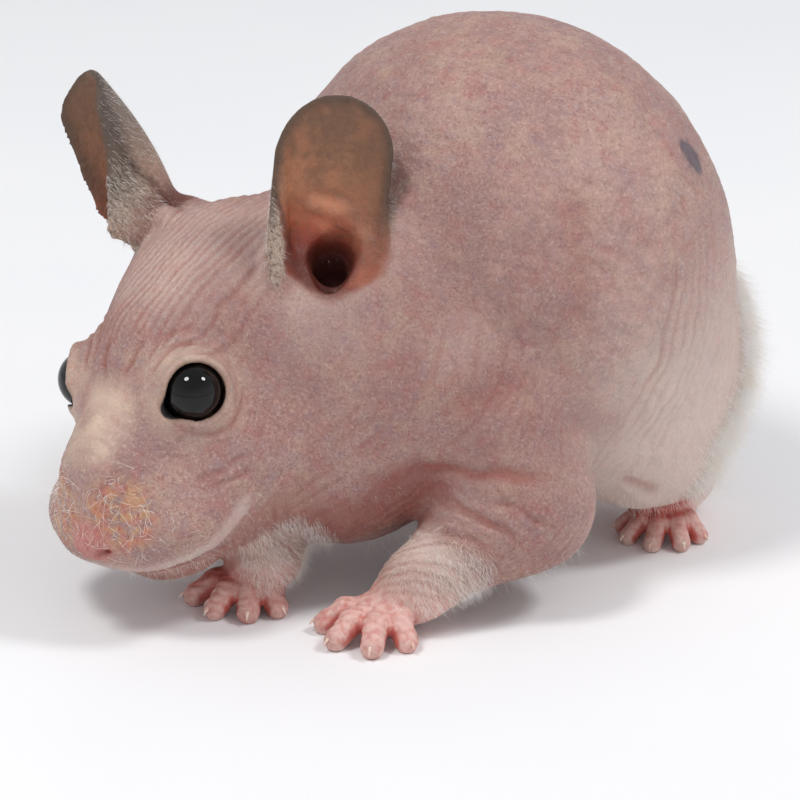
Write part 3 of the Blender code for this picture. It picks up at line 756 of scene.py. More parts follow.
def smooth_line(line, parts=4):
    """More points on a smooth curve through the line's own."""
    line = np.array(line, np.float64)
    padded = np.vstack([2 * line[0] - line[1], line, 2 * line[-1] - line[-2]])
    share = (np.arange(parts) / parts)[:, None]
    curve = []
    for a, b, c, d in zip(padded, padded[1:], padded[2:], padded[3:]):
        curve.append(b + 0.5 * share * (c - a + share * (2 * a - 5 * b + 4 * c - d
                                                         + share * (3 * (b - c) + d - a))))
    return np.vstack([*curve, line[-1]])


def along_line(p, n, line):
    """Each point's distance to the line, measured along the skin, and its share of the length."""
    best = np.full(len(p), np.inf)
    share = np.zeros(len(p))
    for number, (a, b) in enumerate(zip(line, line[1:])):
        way = b - a
        part = np.clip((p - a) @ way / (way @ way), 0, 1)
        off = p - a - part[:, None] * way
        gap = np.linalg.norm(off - (off * n).sum(1)[:, None] * n, axis=1)
        closer = gap < best
        best[closer] = gap[closer]
        share[closer] = (number + part[closer]) / (len(line) - 1)
    return best, share


def single_fold(p, n, line, half_width):
    """1 on the line, 0 away from it and just below 0 on the swollen skin beside it."""
    line = smooth_line(line)
    middle = line.mean(0)
    valley = np.zeros(len(p))
    reach = np.linalg.norm(line - middle, axis=1).max() + 4 * half_width
    near = np.flatnonzero(ball(p, middle, reach) < 0)
    wobble = np.stack([noise(p[near] / 2.1, seed) for seed in (81, 82, 83)], -1)
    gap, share = along_line(p[near] + 0.4 * wobble, n[near], line)
    ends = fade(share, 0, 0.3) * fade(share, 1, 0.7)
    inside = np.exp(-(gap / half_width) ** 2)
    beside = np.exp(-((gap / half_width - 2.1) / 0.9) ** 2)
    valley[near] = ends * (inside - 0.3 * beside)
    return valley


def all_single_folds():
    for line, *values in HEAD_FOLDS.values():
        for side in (1, -1):
            yield [head_point(forward, side * left, up) for forward, left, up in line], *values
    for line, *values in BODY_FOLDS.values():
        yield line, *values


def folds(p, n):
    """Depth in millimetres of all creases at each point, how much of a crease it is, and how much redness
    and painted shade the single folds give it.
    """
    q = in_head(p)
    listed = [(*forehead_lines(q, n), 0.36, -0.3), (*cheek_lines(q), 0.11, 0.15),
              (*muzzle_lines(q, n), 0.1, 0.15), (*jaw_lines(q), 0.22, -0.1),
              (*neck_rings(q), 0.05, 0.3), (*flank_lines(p), 0.13, -0.2),
              (*rump_lines(p), 0.14, 0.0)]
    listed += [(*eye_rings(p, side), 0.12, 0.15) for side in (1, -1)]
    for leg in FORELEGS.values():
        listed.append((*limb_rings(p, leg["shoulder"], leg["elbow"], SHOULDER_RADIUS, 2.6), 0.04, 0.3))
        listed.append((*limb_rings(p, leg["elbow"], leg["wrist"], ELBOW_RADIUS, 1.5), 0.14, 0.2))
        listed.append((*toe_rings(p, leg["palm"]), 0.07, 0.15))
    for leg in HIND_LEGS.values():
        listed.append((*limb_rings(p, leg["knee"], leg["ankle"], KNEE_RADIUS + 3, 2.1), 0.2, 0.15))
        listed.append((*toe_rings(p, leg["ball"]), 0.1, 0.15))
    depth = np.zeros(len(p))
    creased = np.zeros(len(p))
    for number, (phase, weight, deep, breaks) in enumerate(listed):
        valley = crease(p, phase, weight, breaks, 10 * number)
        depth += deep * valley
        creased = np.maximum(creased, valley * min(1, deep / 0.2))
    folded = np.zeros(len(p))
    for line, deep, half_width, redness_and_shade in all_single_folds():
        valley = single_fold(p, n, line, half_width)
        depth += deep * valley
        folded = np.maximum(folded, valley * redness_and_shade)
    return depth, creased, folded


# Where each kind of skin is, and where light and shade are painted, from 0 to 1

FLANK_SPOT = (24.8, 42.7, 52.2)
SHOULDER_SPOT = (6, 12, 37)


def max_of(amounts):
    return functools.reduce(np.maximum, amounts)


def ear_amount(p):
    """On the ears: from the root inside their cups, and from higher up outside."""
    found = []
    for ear in EARS.values():
        q, share = in_ear_frame(p, ear)
        sheet = np.minimum(ear_sheet(p, ear), ear_rim(p, ear))
        inside = ear_inside(q, share, ear)
        start = inside * fade(q[:, 2], -2, 2) + (1 - inside) * fade(q[:, 2], 1, 10)
        found.append(np.maximum(fade(sheet, 1.5, 0.4) * start, cup_floor(p, q, ear)))
    return max_of(found)


def cup_floor(p, q, ear):
    """Round the hollow of an ear, and wider above it."""
    reach = 2.2 * fade(q[:, 2], 2, 5) - ear_hole(p, ear)
    share = np.clip(q[:, 2] / ear["length"], 0, 1)
    return fade(reach, -2.6, -0.9) * fade(q[:, 2], 0.3, 3.3) * ear_inside(q, share, ear)


def ear_inside(q, share, ear):
    return fade(q[:, 1] - ear_cup(share, q[:, 0], ear)[0], -0.15, 0.25)


def one_ear_parts(p, ear):
    """The same amounts as ear_parts, for one ear."""
    q, share = in_ear_frame(p, ear)
    towards_rear = ear["side"] * q[:, 0]
    near = ball(p, in_ear(0, 0, 11, ear), 18) < 0
    from_rim = -ear["side"] * (q[:, 0] - ear_lean(share, ear)) - ear_half_width(share, ear)
    from_rim = from_rim + 2.3 * fade(share, 0.6, 0.22) + 0.25 * noise(p / 0.7, 91)
    below_top = fade(share, 0.64, 0.5)
    line = np.exp(-((from_rim + 0.3) / 0.35) ** 2) * fade(share, 0.12, 0.25)
    towards_front = fade(towards_rear, 0.5, -2) * fade(q[:, 2], 1, 4)
    deep = fade(1.3 * towards_front - ear_hole(p, ear), -1.5, -0.1)
    amounts = {
        "ear_high": share,
        "ear_inside": ear_inside(q, share, ear),
        "ear_edge": fade(ear_outline(q, share, ear), -2.0, -0.2) ** 1.6 * fade(share, 0.25, 0.5),
        "ear_rear": fade(towards_rear, -0.5, 4.5) * fade(share, 0.1, 0.3),
        # where the painted highlight of the ridge goes
        "ear_ridge": fade(ear_ridge(p, ear), 0.9, 0.1),
        "ear_front": fade(from_rim, -0.25, 0.25) * below_top,
        "ear_line": line * fade(share, 0.62, 0.5),
        # painted shade deep in the hollow, towards the canal
        "ear_deep": deep * fade(q[:, 2], 8.4, 4.4),
    }
    return {name: near * amount for name, amount in amounts.items()}


def ear_parts(p):
    """How high up an ear, and how far it is inside, on the edge, the ridge, in front, and deep in the
    hollow where shade is painted.
    """
    left, right = (one_ear_parts(p, ear) for ear in EARS.values())
    return {name: np.maximum(amount, right[name]) for name, amount in left.items()}


def foot_amount(p):
    feet = [leg["palm"] for leg in FORELEGS.values()] + [leg["ball"] for leg in HIND_LEGS.values()]
    return max_of(fade(ball(p, foot, 6.5), 5, 0) * fade(p[:, 2], 8, 4) for foot in feet)


def nose_amount(p):
    return fade(ball(p, head_point(19.2, 0, -6.2), 2.6), 1.6, -0.4)


def pale_amount(p, q):
    """The yellower skin of the bridge and round the eyes."""
    forward, left, _ = q.T
    round_eyes = max_of(fade(ball(p, eye_centre(side), 4.8), 3, 0) for side in (1, -1))
    bridge = fade(forward, 1, 6) * fade(forward, 15, 11) * fade(np.abs(left), 6, 2)
    patchy = 0.55 + 0.45 * noise(p / 2.6, 61)
    return np.maximum(0.4 * round_eyes, 0.75 * bridge) * patchy


def pad_amount(p):
    """The whisker pads."""
    return max_of(fade(ball(p, pad_middle(side), 3.4), 2.4, -0.4) for side in (1, -1))


def pad_middle(side):
    forward, left, up = PAD_PLACE
    return head_point(forward, side * left, up)


def lid_gap(p):
    """Distance to the nearer eye's lid opening, up to 1."""
    gap = np.ones(len(p))
    for side in (1, -1):
        near = ball(p, eye_centre(side), EYE_RADIUS + LID_REACH) < 0
        gap = np.where(near, np.minimum(gap, lid_opening(p, side)), gap)
    return gap


def lip_amount(q):
    """The whitish edge of the upper lip."""
    forward, _, up = q.T
    return fade(forward, 4, 8) * fade(up, -12.6, -12.0) * fade(up, -9.6, -11.2)


def jaw_amount(q):
    """The browner skin of the lower jaw."""
    forward, _, up = q.T
    return fade(up, -12.8, -13.6) * fade(forward, -2, 4)


def pale_and_lit_amount(p, q, n):
    """Lighter skin: paler wrists, painted light on the upward-facing crown, and lighter low on the flanks
    and rump.
    """
    forward, back, height = q[:, 0], p[:, 1], p[:, 2]
    wrists = max_of(fade(limb(p, leg["elbow"], leg["wrist"], 2, 6.5), 1, -1)
                    * fade(ball(p, leg["wrist"], 9.5), 3, -3) for leg in FORELEGS.values())
    # painted light: the crown lighter where it faces up
    crown = 0.45 * fade(n @ HEAD[2], 0.6, 0.95) * fade(forward, -30, -22) * fade(forward, -2, -10)
    wander = 6 * noise(p / 9, 97) + 3 * noise(p / 3.5, 98)
    return max_of((wrists, crown, 0.85 * fade(back, 16, 34) * fade(height - wander, 58, 14)))


def side_shade_amount(p, q, n):
    """Painted shade: darker, redder skin on the sides of the head behind the eyes, the neck and the
    shoulders, where the skin doesn't face up.
    """
    forward, back, height = q[:, 0], p[:, 1], p[:, 2]
    aside = 1 - fade(n @ HEAD[2], 0.8, 0.96)
    return aside * fade(forward, -1, -8) * fade(back, 26, 15) * fade(height, 12, 20)


def flush_and_shade_amount(p):
    """Red skin with painted shade under the neck and in the armpits, and painted shadow on the far
    forefoot.
    """
    wander = 1.3 * noise(p / 2.4, 95)
    found = [fade(-limb(p, (side * 12, 6.5, 17.2), (side * 3, 1.5, 11), 2.8, 2.8) + wander, -2.4, 0.6)
             for side in (1, -1)]
    # painted shadow on the far forefoot
    shaded_far_palm = FORELEGS["right"]["palm"]
    return max_of((*found, 0.7 * fade(-ball(p, shaded_far_palm, 6.5) + wander, -1.5, 1.5)))


def near_ears(p):
    return max_of(fade(ball(p, in_ear(0, 0, 8, ear), 13), 2, -3) for ear in EARS.values())


def spot_amount(p):
    """Blue-grey spots, one high on the left flank and a faint one at the shoulder."""
    wander = 0.9 * noise(p / 2.2, 71) + 0.5 * noise(p / 0.8, 72)
    spot = ellipsoid(p, FLANK_SPOT, (2.4, 1.9, 2.2))
    flank = fade(-spot + wander, -0.7, 0.6)
    shoulder = 0.35 * fade(-ball(p, SHOULDER_SPOT, 1.6) + wander, -1.5, 1.5)
    return np.maximum(flank, shoulder)


def hollow_amount(p, n):
    """How enclosed each point is by the form round it: it drives the painted shade and redness in
    hollows.
    """
    reach = 1.6
    return np.clip(1.1 - body(p + n * reach) / reach, 0, 1)


# The skin's mesh

def even_out(points, faces, chosen, rounds=10):
    """Move the chosen points towards their neighbours, so that thin edges aren't jagged."""
    starts = faces.ravel()
    ends = np.roll(faces, -1, axis=1).ravel()
    count = np.maximum(np.bincount(starts, minlength=len(points)), 1)
    for _ in range(rounds):
        mean = np.stack([np.bincount(starts, points[ends, k], len(points)) for k in range(3)], -1)
        mean = mean / count[:, None]
        points[chosen] += 0.5 * (mean[chosen] - points[chosen])
    return points


def skin_form():
    """The skin's points, normals, faces, and its named amounts."""
    points, faces = surface(sample(body, STEP), STEP)
    points, normals = settle(body, points)
    on_edge = (lid_gap(points) < 0.95) | (ear_parts(points)["ear_edge"] > 0.3)
    points = even_out(points, faces, on_edge & (points[:, 2] > 1))
    depth, creased, folded = folds(points, normals)
    q = in_head(points)
    ear = ear_amount(points)
    foot = foot_amount(points)
    bare = (1 - ear) * (1 - foot)
    trunk = bare * fade(q[:, 0], -12, -24)
    rough = 0.35 + 0.65 * fade(noise(points / 9, 55), -0.3, 0.5)
    papules = lumps(points / 1.55, 31) * rough * (1 - creased) * bare
    lumpy = 0.24 * trunk * papules + 0.05 * bare * lumps(points / 0.75, 41)
    lumpy += trunk * (0.3 * noise(points / 6.5, 51) + 0.12 * noise(points / 2.6, 53))
    amounts = {
        "ear": ear,
        **ear_parts(points),
        "foot": foot,
        "nose": nose_amount(points),
        "pale": pale_amount(points, q),
        "lip": lip_amount(q),
        "jaw": jaw_amount(q),
        "pad": pad_amount(points),
        "spot": spot_amount(points),
        "papule": papules * (0.45 + 0.55 * trunk),
        "light": pale_and_lit_amount(points, q, normals),
        "ruddy": side_shade_amount(points, q, normals),
        "flush": flush_and_shade_amount(points),
        "crease": creased,
        "fold": folded,
        "hollow": hollow_amount(points, normals) * (1 - 0.7 * near_ears(points)),
    }
    still = fade(points[:, 2], 0.15, 0.6) * fade(lid_gap(points), 0.6, 1) * (1 - ear)
    points = points + normals * ((lumpy - depth) * still)[:, None]
    points[:, 2] = np.maximum(points[:, 2], 0)
    return points, normals, faces, amounts


def frame_shift():
    """From the form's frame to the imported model's, in millimetres: both have the left eye."""
    low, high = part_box("eye_left")
    middle = np.array((low + high) / 2) / MM
    return middle - eye_centre(1)


SHIFT = frame_shift()


def to_frame(p):
    return (np.asarray(p) + SHIFT) * MM


def add_mesh(name, points, faces, mat):
    """A smooth-shaded mesh object from points in the form's frame."""
    mesh = bpy.data.meshes.new(name)
    placed = to_frame(points)
    mesh.vertices.add(len(placed))
    mesh.vertices.foreach_set("co", placed.astype(np.float32).ravel())
    sizes = np.array([len(face) for face in faces])
    corners = np.concatenate(faces)
    mesh.loops.add(len(corners))
    mesh.loops.foreach_set("vertex_index", corners.astype(np.int32))
    mesh.polygons.add(len(sizes))
    mesh.polygons.foreach_set("loop_start", (np.cumsum(sizes) - sizes).astype(np.int32))
    mesh.update(calc_edges=True)
    mesh.validate()
    mesh.materials.append(mat)
    mesh.shade_smooth()
    obj = bpy.data.objects.new(name, mesh)
    bpy.context.scene.collection.objects.link(obj)
    return obj


def keep_largest(points, faces):
    """The faces of the largest connected surface, and all points' new numbers."""
    label = np.arange(len(points))
    while True:
        lowest = label[faces].min(1)
        fresh = label.copy()
        for corner in range(faces.shape[1]):
            np.minimum.at(fresh, faces[:, corner], lowest)
        fresh = fresh[fresh]
        if (fresh == label).all():
            break
        label = fresh
    names, counts = np.unique(label[faces[:, 0]], return_counts=True)
    kept = label == names[np.argmax(counts)]
    number = np.cumsum(kept) - 1
    return kept, number[faces[kept[faces[:, 0]]]]


# Materials

def rgb(red, green, blue):
    """A colour as a screen shows it, from 0 to 255, as the shader's linear values."""
    shown = np.array((red, green, blue)) / 255
    linear = np.where(shown <= 0.04045, shown / 12.92, ((shown + 0.055) / 1.055) ** 2.4)
    return (*(float(c) for c in linear), 1.0)


class Look:
    """Short ways to add shader nodes to a material or to the world.  Sizes and depths are in mm.

    A value may be a number, another node's output, or the name of one of the skin's amounts.
    """

    def __init__(self, tree, place="Object"):
        self.tree = tree
        self.place = self.add("TexCoord").outputs[place]

    def add(self, kind, *values, **settings):
        """A new node with these settings, and with these values on its first inputs."""
        node = self.tree.nodes.new("ShaderNode" + kind)
        for name, setting in settings.items():
            setattr(node, name, setting)
        for socket, value in zip(node.inputs, values):
            self.feed(socket, value)
        return node

    def feed(self, socket, value):
        if isinstance(value, str):
            value = self.add("Attribute", attribute_name=value).outputs["Fac"]
        if isinstance(value, bpy.types.NodeSocket):
            self.tree.links.new(value, socket)
        else:
            socket.default_value = value

    def dress(self, node, values):
        """Give a node's named inputs their values."""
        for name, value in values.items():
            self.feed(node.inputs[name], value)
        return node

    def math(self, operation, *values):
        return self.add("Math", *values, operation=operation).outputs[0]

    def vector(self, operation, *values, result=0):
        return self.add("VectorMath", *values, operation=operation).outputs[result]

    def spread(self, value, *ends):
        """Stretch what lies between the first two ends over 0 to 1, or over the other two ends."""
        return self.add("MapRange", value, *ends, interpolation_type="SMOOTHSTEP").outputs["Result"]

    def noise(self, size, detail=2.0, distortion=0.0):
        values = {"Scale": 1 / (size * MM), "Detail": detail, "Distortion": distortion}
        return self.dress(self.add("TexNoise", self.place), values).outputs["Fac"]

    def patches(self, size, low, high, detail=2.0):
        """1 in the patches of a noise where it is past high, 0 where it is past low."""
        return self.spread(self.noise(size, detail), low, high)

    def cells(self, size, low, high):
        """The same for the distance to the middle of the cell."""
        node = self.dress(self.add("TexVoronoi", self.place), {"Scale": 1 / (size * MM)})
        return self.spread(node.outputs["Distance"], low, high)

    def bump(self, height, depth, under=None):
        values = {"Height": height, "Distance": depth * MM}
        if under is not None:
            values["Normal"] = under
        return self.dress(self.add("Bump"), values).outputs["Normal"]

    def mix(self, amount, *colours):
        """From the first colour to the second.  A colour is an output or what rgb takes."""
        node = self.add("Mix", amount, data_type="RGBA")
        for number, colour in zip((6, 7), colours):
            self.feed(node.inputs[number], rgb(*colour) if isinstance(colour, tuple) else colour)
        return node.outputs[2]

    def tint(self, colour, amount, strength, other):
        """The colour, turned to the other by this amount times this strength."""
        return self.mix(self.math("MULTIPLY", amount, strength), colour, other)

    def ramp(self, value, stops):
        """A colour by the value: stops are pairs of value and colour."""
        node = self.add("ValToRGB", value)
        elements = node.color_ramp.elements
        while len(elements) < len(stops):
            elements.new(0.5)
        for element, (position, colour) in zip(elements, stops):
            element.position = position
            element.color = rgb(*colour)
        return node.outputs["Color"]


def new_material(name):
    """A material, its shader, and its look to add nodes with."""
    mat = bpy.data.materials.new(name)
    mat.use_nodes = True
    return mat, mat.node_tree.nodes["Principled BSDF"], Look(mat.node_tree)


# Patches over the skin's base colour: size in mm, the noise's range, strength and colour
SKIN_TINTS = (
    (8.0, 0.46, 0.66, 0.35, (162, 114, 108)),      # pinker
    (4.2, 0.50, 0.70, 0.45, (180, 154, 132)),      # yellowish
    (2.4, 0.50, 0.70, 0.50, (164, 102, 98)),       # flushed
    (1.5, 0.52, 0.72, 0.45, (138, 114, 124)),      # lilac
    (0.8, 0.54, 0.70, 0.35, (136, 94, 88)),
    (0.42, 0.50, 0.68, 0.40, (196, 170, 158)),     # pale grain
    (0.30, 0.50, 0.68, 0.50, (122, 80, 76)),       # dark grain
)


def drawn_lid_gap(look):
    """Distance to the nearer eye's lid opening in millimetres, for each point that is drawn."""
    gaps = []
    for side in (1, -1):
        offset = look.vector("SUBTRACT", look.place, tuple(to_frame(eye_centre(side))))
        ways = [look.vector("DOT_PRODUCT", offset, tuple(axis / MM), result="Value")
                for axis in eye_axes(side)[:2]]
        ovals = []
        for middle, sizes in LID_OPENINGS:
            across, along = (look.math("DIVIDE", look.math("SUBTRACT", way, at), size)
                             for way, at, size in zip(ways, middle, sizes))
            square = look.math("MULTIPLY_ADD", along, along, look.math("MULTIPLY", across, across))
            step = look.math("SUBTRACT", look.math("SQRT", square), 1.0)
            ovals.append(look.math("MULTIPLY", step, sizes[1]))
        gap = look.math("SMOOTH_MIN", *ovals, DRAWN_LID_BLEND)
        apart = look.vector("LENGTH", offset, result="Value")
        away = look.spread(apart, (EYE_RADIUS + 1.2) * MM, (EYE_RADIUS + LID_REACH) * MM, 0.0, 10.0)
        gaps.append(look.math("ADD", gap, away))
    return look.math("MINIMUM", *gaps)


def skin_colour(look, pebbles):
    """Mottled grey pink with a fine grain, redder and painted darker in folds and hollows, with each
    region's own colours and painted light and shade.
    """
    colour = look.mix(look.patches(6.5, 0.35, 0.68), (168, 136, 127), (152, 120, 116))
    for size, low, high, strength, other in SKIN_TINTS:
        colour = look.tint(colour, look.patches(size, low, high), strength, other)
    colour = look.tint(colour, look.math("SUBTRACT", 1.0, pebbles), 0.12, (116, 80, 74))
    # paler papule tops: their own paler colour and a painted highlight
    colour = look.tint(colour, "papule", 0.4, (198, 160, 148))
    # paler wrists, painted light on the crown, and lighter low on the flanks and rump
    colour = look.tint(colour, "light", 0.78, (218, 200, 190))
    colour = look.mix("pale", colour, (224, 202, 178))
    # painted shade on the sides of the head, the neck and the shoulders
    colour = look.tint(colour, "ruddy", 0.24, (124, 86, 82))
    colour = look.tint(colour, "jaw", 0.5, (158, 112, 100))
    colour = look.mix("pad", colour, pad_colour(look, colour))
    # redder and painted darker in the creases: their own redness and painted shade
    colour = look.tint(colour, "crease", 0.6, (142, 86, 76))
    # painted shade, redder, in hollows where the form encloses the skin
    colour = look.tint(colour, look.spread("hollow", 0.35, 1.0), 0.6, (132, 64, 54))
    colour = look.mix("foot", colour, foot_colour(look))
    # redder skin with painted shade under the neck and in the armpits, and painted shadow on the far
    # forefoot
    colour = look.tint(colour, "flush", 0.55, (132, 62, 52))
    # redness and painted shade along the single folds
    colour = look.tint(colour, "fold", 0.8, (146, 78, 66))
    colour = look.mix("ear", colour, ear_colour(look))
    # painted shade deep in the ear's hollow and canal
    colour = look.tint(colour, "ear_deep", 0.9, (88, 38, 30))
    nose = look.mix(look.patches(0.6, 0.35, 0.7), (188, 128, 120), (174, 96, 92))
    colour = look.tint(colour, "nose", 0.8, nose)
    colour = look.tint(colour, "lip", 0.4, (222, 204, 196))
    colour = look.tint(colour, "spot", 0.85, (84, 76, 84))
    gap = drawn_lid_gap(look)
    colour = look.tint(colour, look.spread(gap, 0.9, 0.2), 0.5, (120, 84, 64))
    return look.mix(look.spread(gap, 0.36, 0.18), colour, (18, 12, 11))


def pad_colour(look, skin):
    """Yellow brown between the roots of the whiskers, with pink spots."""
    colour = look.tint(skin, look.patches(1.1, 0.4, 0.6), 0.7, (196, 148, 104))
    colour = look.tint(colour, look.patches(1.6, 0.45, 0.65), 0.5, (190, 108, 92))
    return look.tint(colour, look.cells(0.85, 0.32, 0.12), 0.6, (140, 72, 58))


def foot_colour(look):
    """Pale pink toes and soles, red and painted darker where they are creased or lie against each other.
    """
    colour = look.mix(look.patches(0.9, 0.38, 0.7), (222, 184, 174), (206, 150, 140))
    # redder and painted darker in the creases: their own redness and painted shade
    colour = look.tint(colour, "crease", 0.35, (196, 112, 102))
    # painted shade, redder, where the toes lie against each other
    return look.tint(colour, look.spread("hollow", 0.25, 0.95), 0.8, (186, 76, 66))


def ear_colour(look):
    """Brown cups that redden downwards, greyer backs, dark edges, a pale folded front and a painted
    highlight on the ridge.
    """
    inner = look.ramp("ear_high", (
        (0.10, (126, 58, 42)), (0.26, (150, 62, 42)), (0.38, (156, 84, 58)),
        (0.54, (162, 114, 86)), (0.76, (138, 100, 76)), (1.0, (116, 88, 70))))
    outer = look.ramp("ear_high", (
        (0.15, (190, 154, 140)), (0.42, (164, 136, 120)), (0.70, (126, 110, 100)), (1.0, (106, 92, 82))))
    inner = look.tint(inner, look.patches(1.0, 0.38, 0.68, 3.0), 0.4, (104, 74, 58))
    inner = look.tint(inner, look.patches(3.0, 0.45, 0.7, 1.0), 0.3, (204, 132, 98))
    fine = look.patches(0.4, 0.47, 0.7)
    outer = look.tint(outer, fine, 0.45, (84, 74, 70))
    front = look.mix(fine, (166, 144, 128), (108, 92, 84))
    inner = look.tint(inner, "ear_rear", 0.55, (112, 82, 64))
    colour = look.mix("ear_inside", outer, inner)
    # painted highlight along the ridge across the cup
    colour = look.tint(colour, "ear_ridge", 0.5, (214, 150, 116))
    colour = look.mix("ear_front", colour, front)
    colour = look.tint(colour, "ear_line", 0.7, (66, 44, 38))
    return look.tint(colour, "ear_edge", 0.75, (66, 54, 46))


def skin_material():
    mat, shader, look = new_material("hairless_skin")
    pebbles = look.cells(0.62, 0.8, 0.4)
    grain = look.bump(look.noise(0.25), 0.06, look.bump(pebbles, 0.03))
    shader.subsurface_method = "BURLEY"
    look.dress(shader, {
        "Base Color": skin_colour(look, pebbles),
        "Roughness": look.math("MULTIPLY_ADD", look.patches(0.8, 0.3, 0.7), 0.16, 0.46),
        "Subsurface Weight": 0.18,
        "Subsurface Radius": (1.0, 0.35, 0.22),
        "Subsurface Scale": 0.0012,
        "Specular IOR Level": 0.38,
        "Normal": look.bump(look.noise(0.9, distortion=1.2), 0.1, grain),
    })
    return mat


def eye_material():
    """Black, with a slightly lighter cloud, under a wet clear coat."""
    mat, shader, look = new_material("wet_eye")
    look.dress(shader, {
        "Base Color": look.mix(look.patches(1.5, 0.35, 0.75, 3.0), (4, 4, 5), (14, 14, 13)),
        "Roughness": 0.4,
        "Specular IOR Level": 0.0,
        "Coat Weight": 1.0,
        "Coat Roughness": 0.02,
        "Coat IOR": 1.4,
        "Normal": look.bump(look.noise(2.5, 1.0), 0.01),
    })
    return mat


def claw_material():
    mat, shader, look = new_material("pale_claw")
    streak = look.spread(look.noise(0.4, 2.0, 0.8), 0.35, 0.7)
    look.dress(shader, {
        "Base Color": look.mix(streak, (236, 214, 200), (214, 168, 150)),
        "Roughness": 0.3,
        "Subsurface Weight": 0.3,
        "Subsurface Scale": 0.0006,
        "Normal": look.bump(look.noise(0.2), 0.02),
    })
    return mat


def hair_material():
    mat, shader, look = new_material("fine_hair")
    look.dress(shader, {
        "Base Color": look.mix(look.patches(3.0, 0.3, 0.7), (255, 253, 250), (246, 236, 224)),
        "Roughness": 0.45,
        "Sheen Weight": 0.2,
    })
    return mat


def floor_material():
    mat, shader, look = new_material("pale_floor")
    look.dress(shader, {
        "Base Color": look.mix(look.patches(60, 0.2, 0.8), (246, 246, 247), (242, 243, 245)),
        "Roughness": 0.7,
    })
    return mat


# Pieces

def make_skin():
    points, normals, faces, amounts = skin_form()
    kept, faces = keep_largest(points, faces)
    points, normals = points[kept], normals[kept]
    skin = add_mesh("skin", points, faces, skin_material())
    for name, amount in amounts.items():
        layer = skin.data.attributes.new(name, "FLOAT", "POINT")
        layer.data.foreach_set("value", amount[kept].astype(np.float32))
    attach(skin, "root")
    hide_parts(*[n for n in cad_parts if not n.startswith("eye_")])
    return points, normals


def ring_faces(steps, sides):
    """The four-sided faces between rings of points, for this many steps from ring to ring."""
    step, side = (number.ravel() for number in np.indices((steps, sides)))
    here, after = step * sides + side, step * sides + (side + 1) % sides
    return np.stack([here, after, after + sides, here + sides], 1)


def ball_mesh(centre, radius, rings=40, sides=64):
    """Points and faces of a ball with a point at each pole."""
    points = [centre + vec(0, 0, radius)]
    for ring in range(1, rings):
        polar = math.pi * ring / rings
        for side in range(sides):
            turn = 2 * math.pi * side / sides
            points.append(centre + radius * vec(math.sin(polar) * math.cos(turn),
                                                math.sin(polar) * math.sin(turn), math.cos(polar)))
    points.append(centre - vec(0, 0, radius))
    last = len(points) - 1
    faces = [tuple(face) for face in 1 + ring_faces(rings - 2, sides)[:, ::-1]]
    for side in range(sides):
        after = (side + 1) % sides
        faces.append((0, 1 + side, 1 + after))
        faces.append((last - sides + side, last, last - sides + after))
    return np.array(points), faces


def make_eyes(mat):
    for name, side in (("left", 1), ("right", -1)):
        points, faces = ball_mesh(eye_centre(side), EYE_RADIUS)
        eye = add_mesh("eyeball_" + name, points, faces, mat)
        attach(eye, "root")
        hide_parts("eye_" + name)


def tube(centres, radii, sides=8):
    """A round tube through the centres, closed at both ends."""
    ways = unit_rows(np.gradient(centres, axis=0))
    across = unit_rows(np.cross(ways, vec(0, 0, 1)))
    above = np.cross(across, ways)
    points = []
    for centre, one, other, radius in zip(centres, across, above, radii):
        for side in range(sides):
            turn = 2 * math.pi * side / sides
            points.append(centre + radius * (one * math.cos(turn) + other * math.sin(turn)))
    ends = [tuple(range(sides))[::-1], tuple(range(len(points) - sides, len(points)))]
    return np.array(points), ends + [tuple(face) for face in ring_faces(len(centres) - 1, sides)]


def all_toes():
    """Name of the foot, toe radius and joints of every toe."""
    for name, leg in FORELEGS.items():
        for joints in toe_joints(leg["palm"], leg["heading"], FORE_SPREAD, leg["digits"], FORE_TOE):
            yield "forefoot_" + name, FORE_TOE, joints
    for name, leg in HIND_LEGS.items():
        for joints in toe_joints(leg["ball"], leg["heading"], HIND_SPREAD, HIND_DIGITS, HIND_TOE):
            yield "hind_foot_" + name, HIND_TOE, joints


def make_claws(mat):
    """A small curved claw at the end of each toe, joined to one piece a foot."""
    feet = {}
    for foot, thick, (_, tip, way) in all_toes():
        share = np.linspace(0, 1, 9)[:, None]
        root = tip + way * thick * 0.45 + vec(0, 0, thick * 0.3)
        drop = vec(0, 0, 1) * (0.25 * share - 0.75 * share ** 2) * thick
        centres = root + way * share * thick * 0.85 + drop
        centres[:, 2] = np.maximum(centres[:, 2], 0.16)
        radii = 0.27 * (1 - share[:, 0] ** 1.6) + 0.04
        feet.setdefault(foot, []).append(tube(centres, radii))
    for foot, tubes in feet.items():
        points, faces = [], []
        for tube_points, tube_faces in tubes:
            faces += [tuple(i + len(points) for i in face) for face in tube_faces]
            points += list(tube_points)
        claws = add_mesh("claws_" + foot, np.array(points), faces, mat)
        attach(claws, "root")


# Hairs

PAD_WHISKERS, MOUTH_WHISKERS = 150, 300    # on each pad, and round the mouth
HAIR_PATCH = 0.003             # size of a hair's patch on the bake map
UNWRAP_MIDDLE = (0, 26)        # the map goes round this upright axis
UNWRAP_HEIGHT = 70


def unwrap(p):
    """A place on the skin's map: round the body, and up it."""
    turn = np.arctan2(p[:, 0] - UNWRAP_MIDDLE[0], UNWRAP_MIDDLE[1] - p[:, 1])
    return np.stack([0.5 + turn / (2 * np.pi) * 0.98, 0.01 + p[:, 2] / UNWRAP_HEIGHT * 0.97], -1)


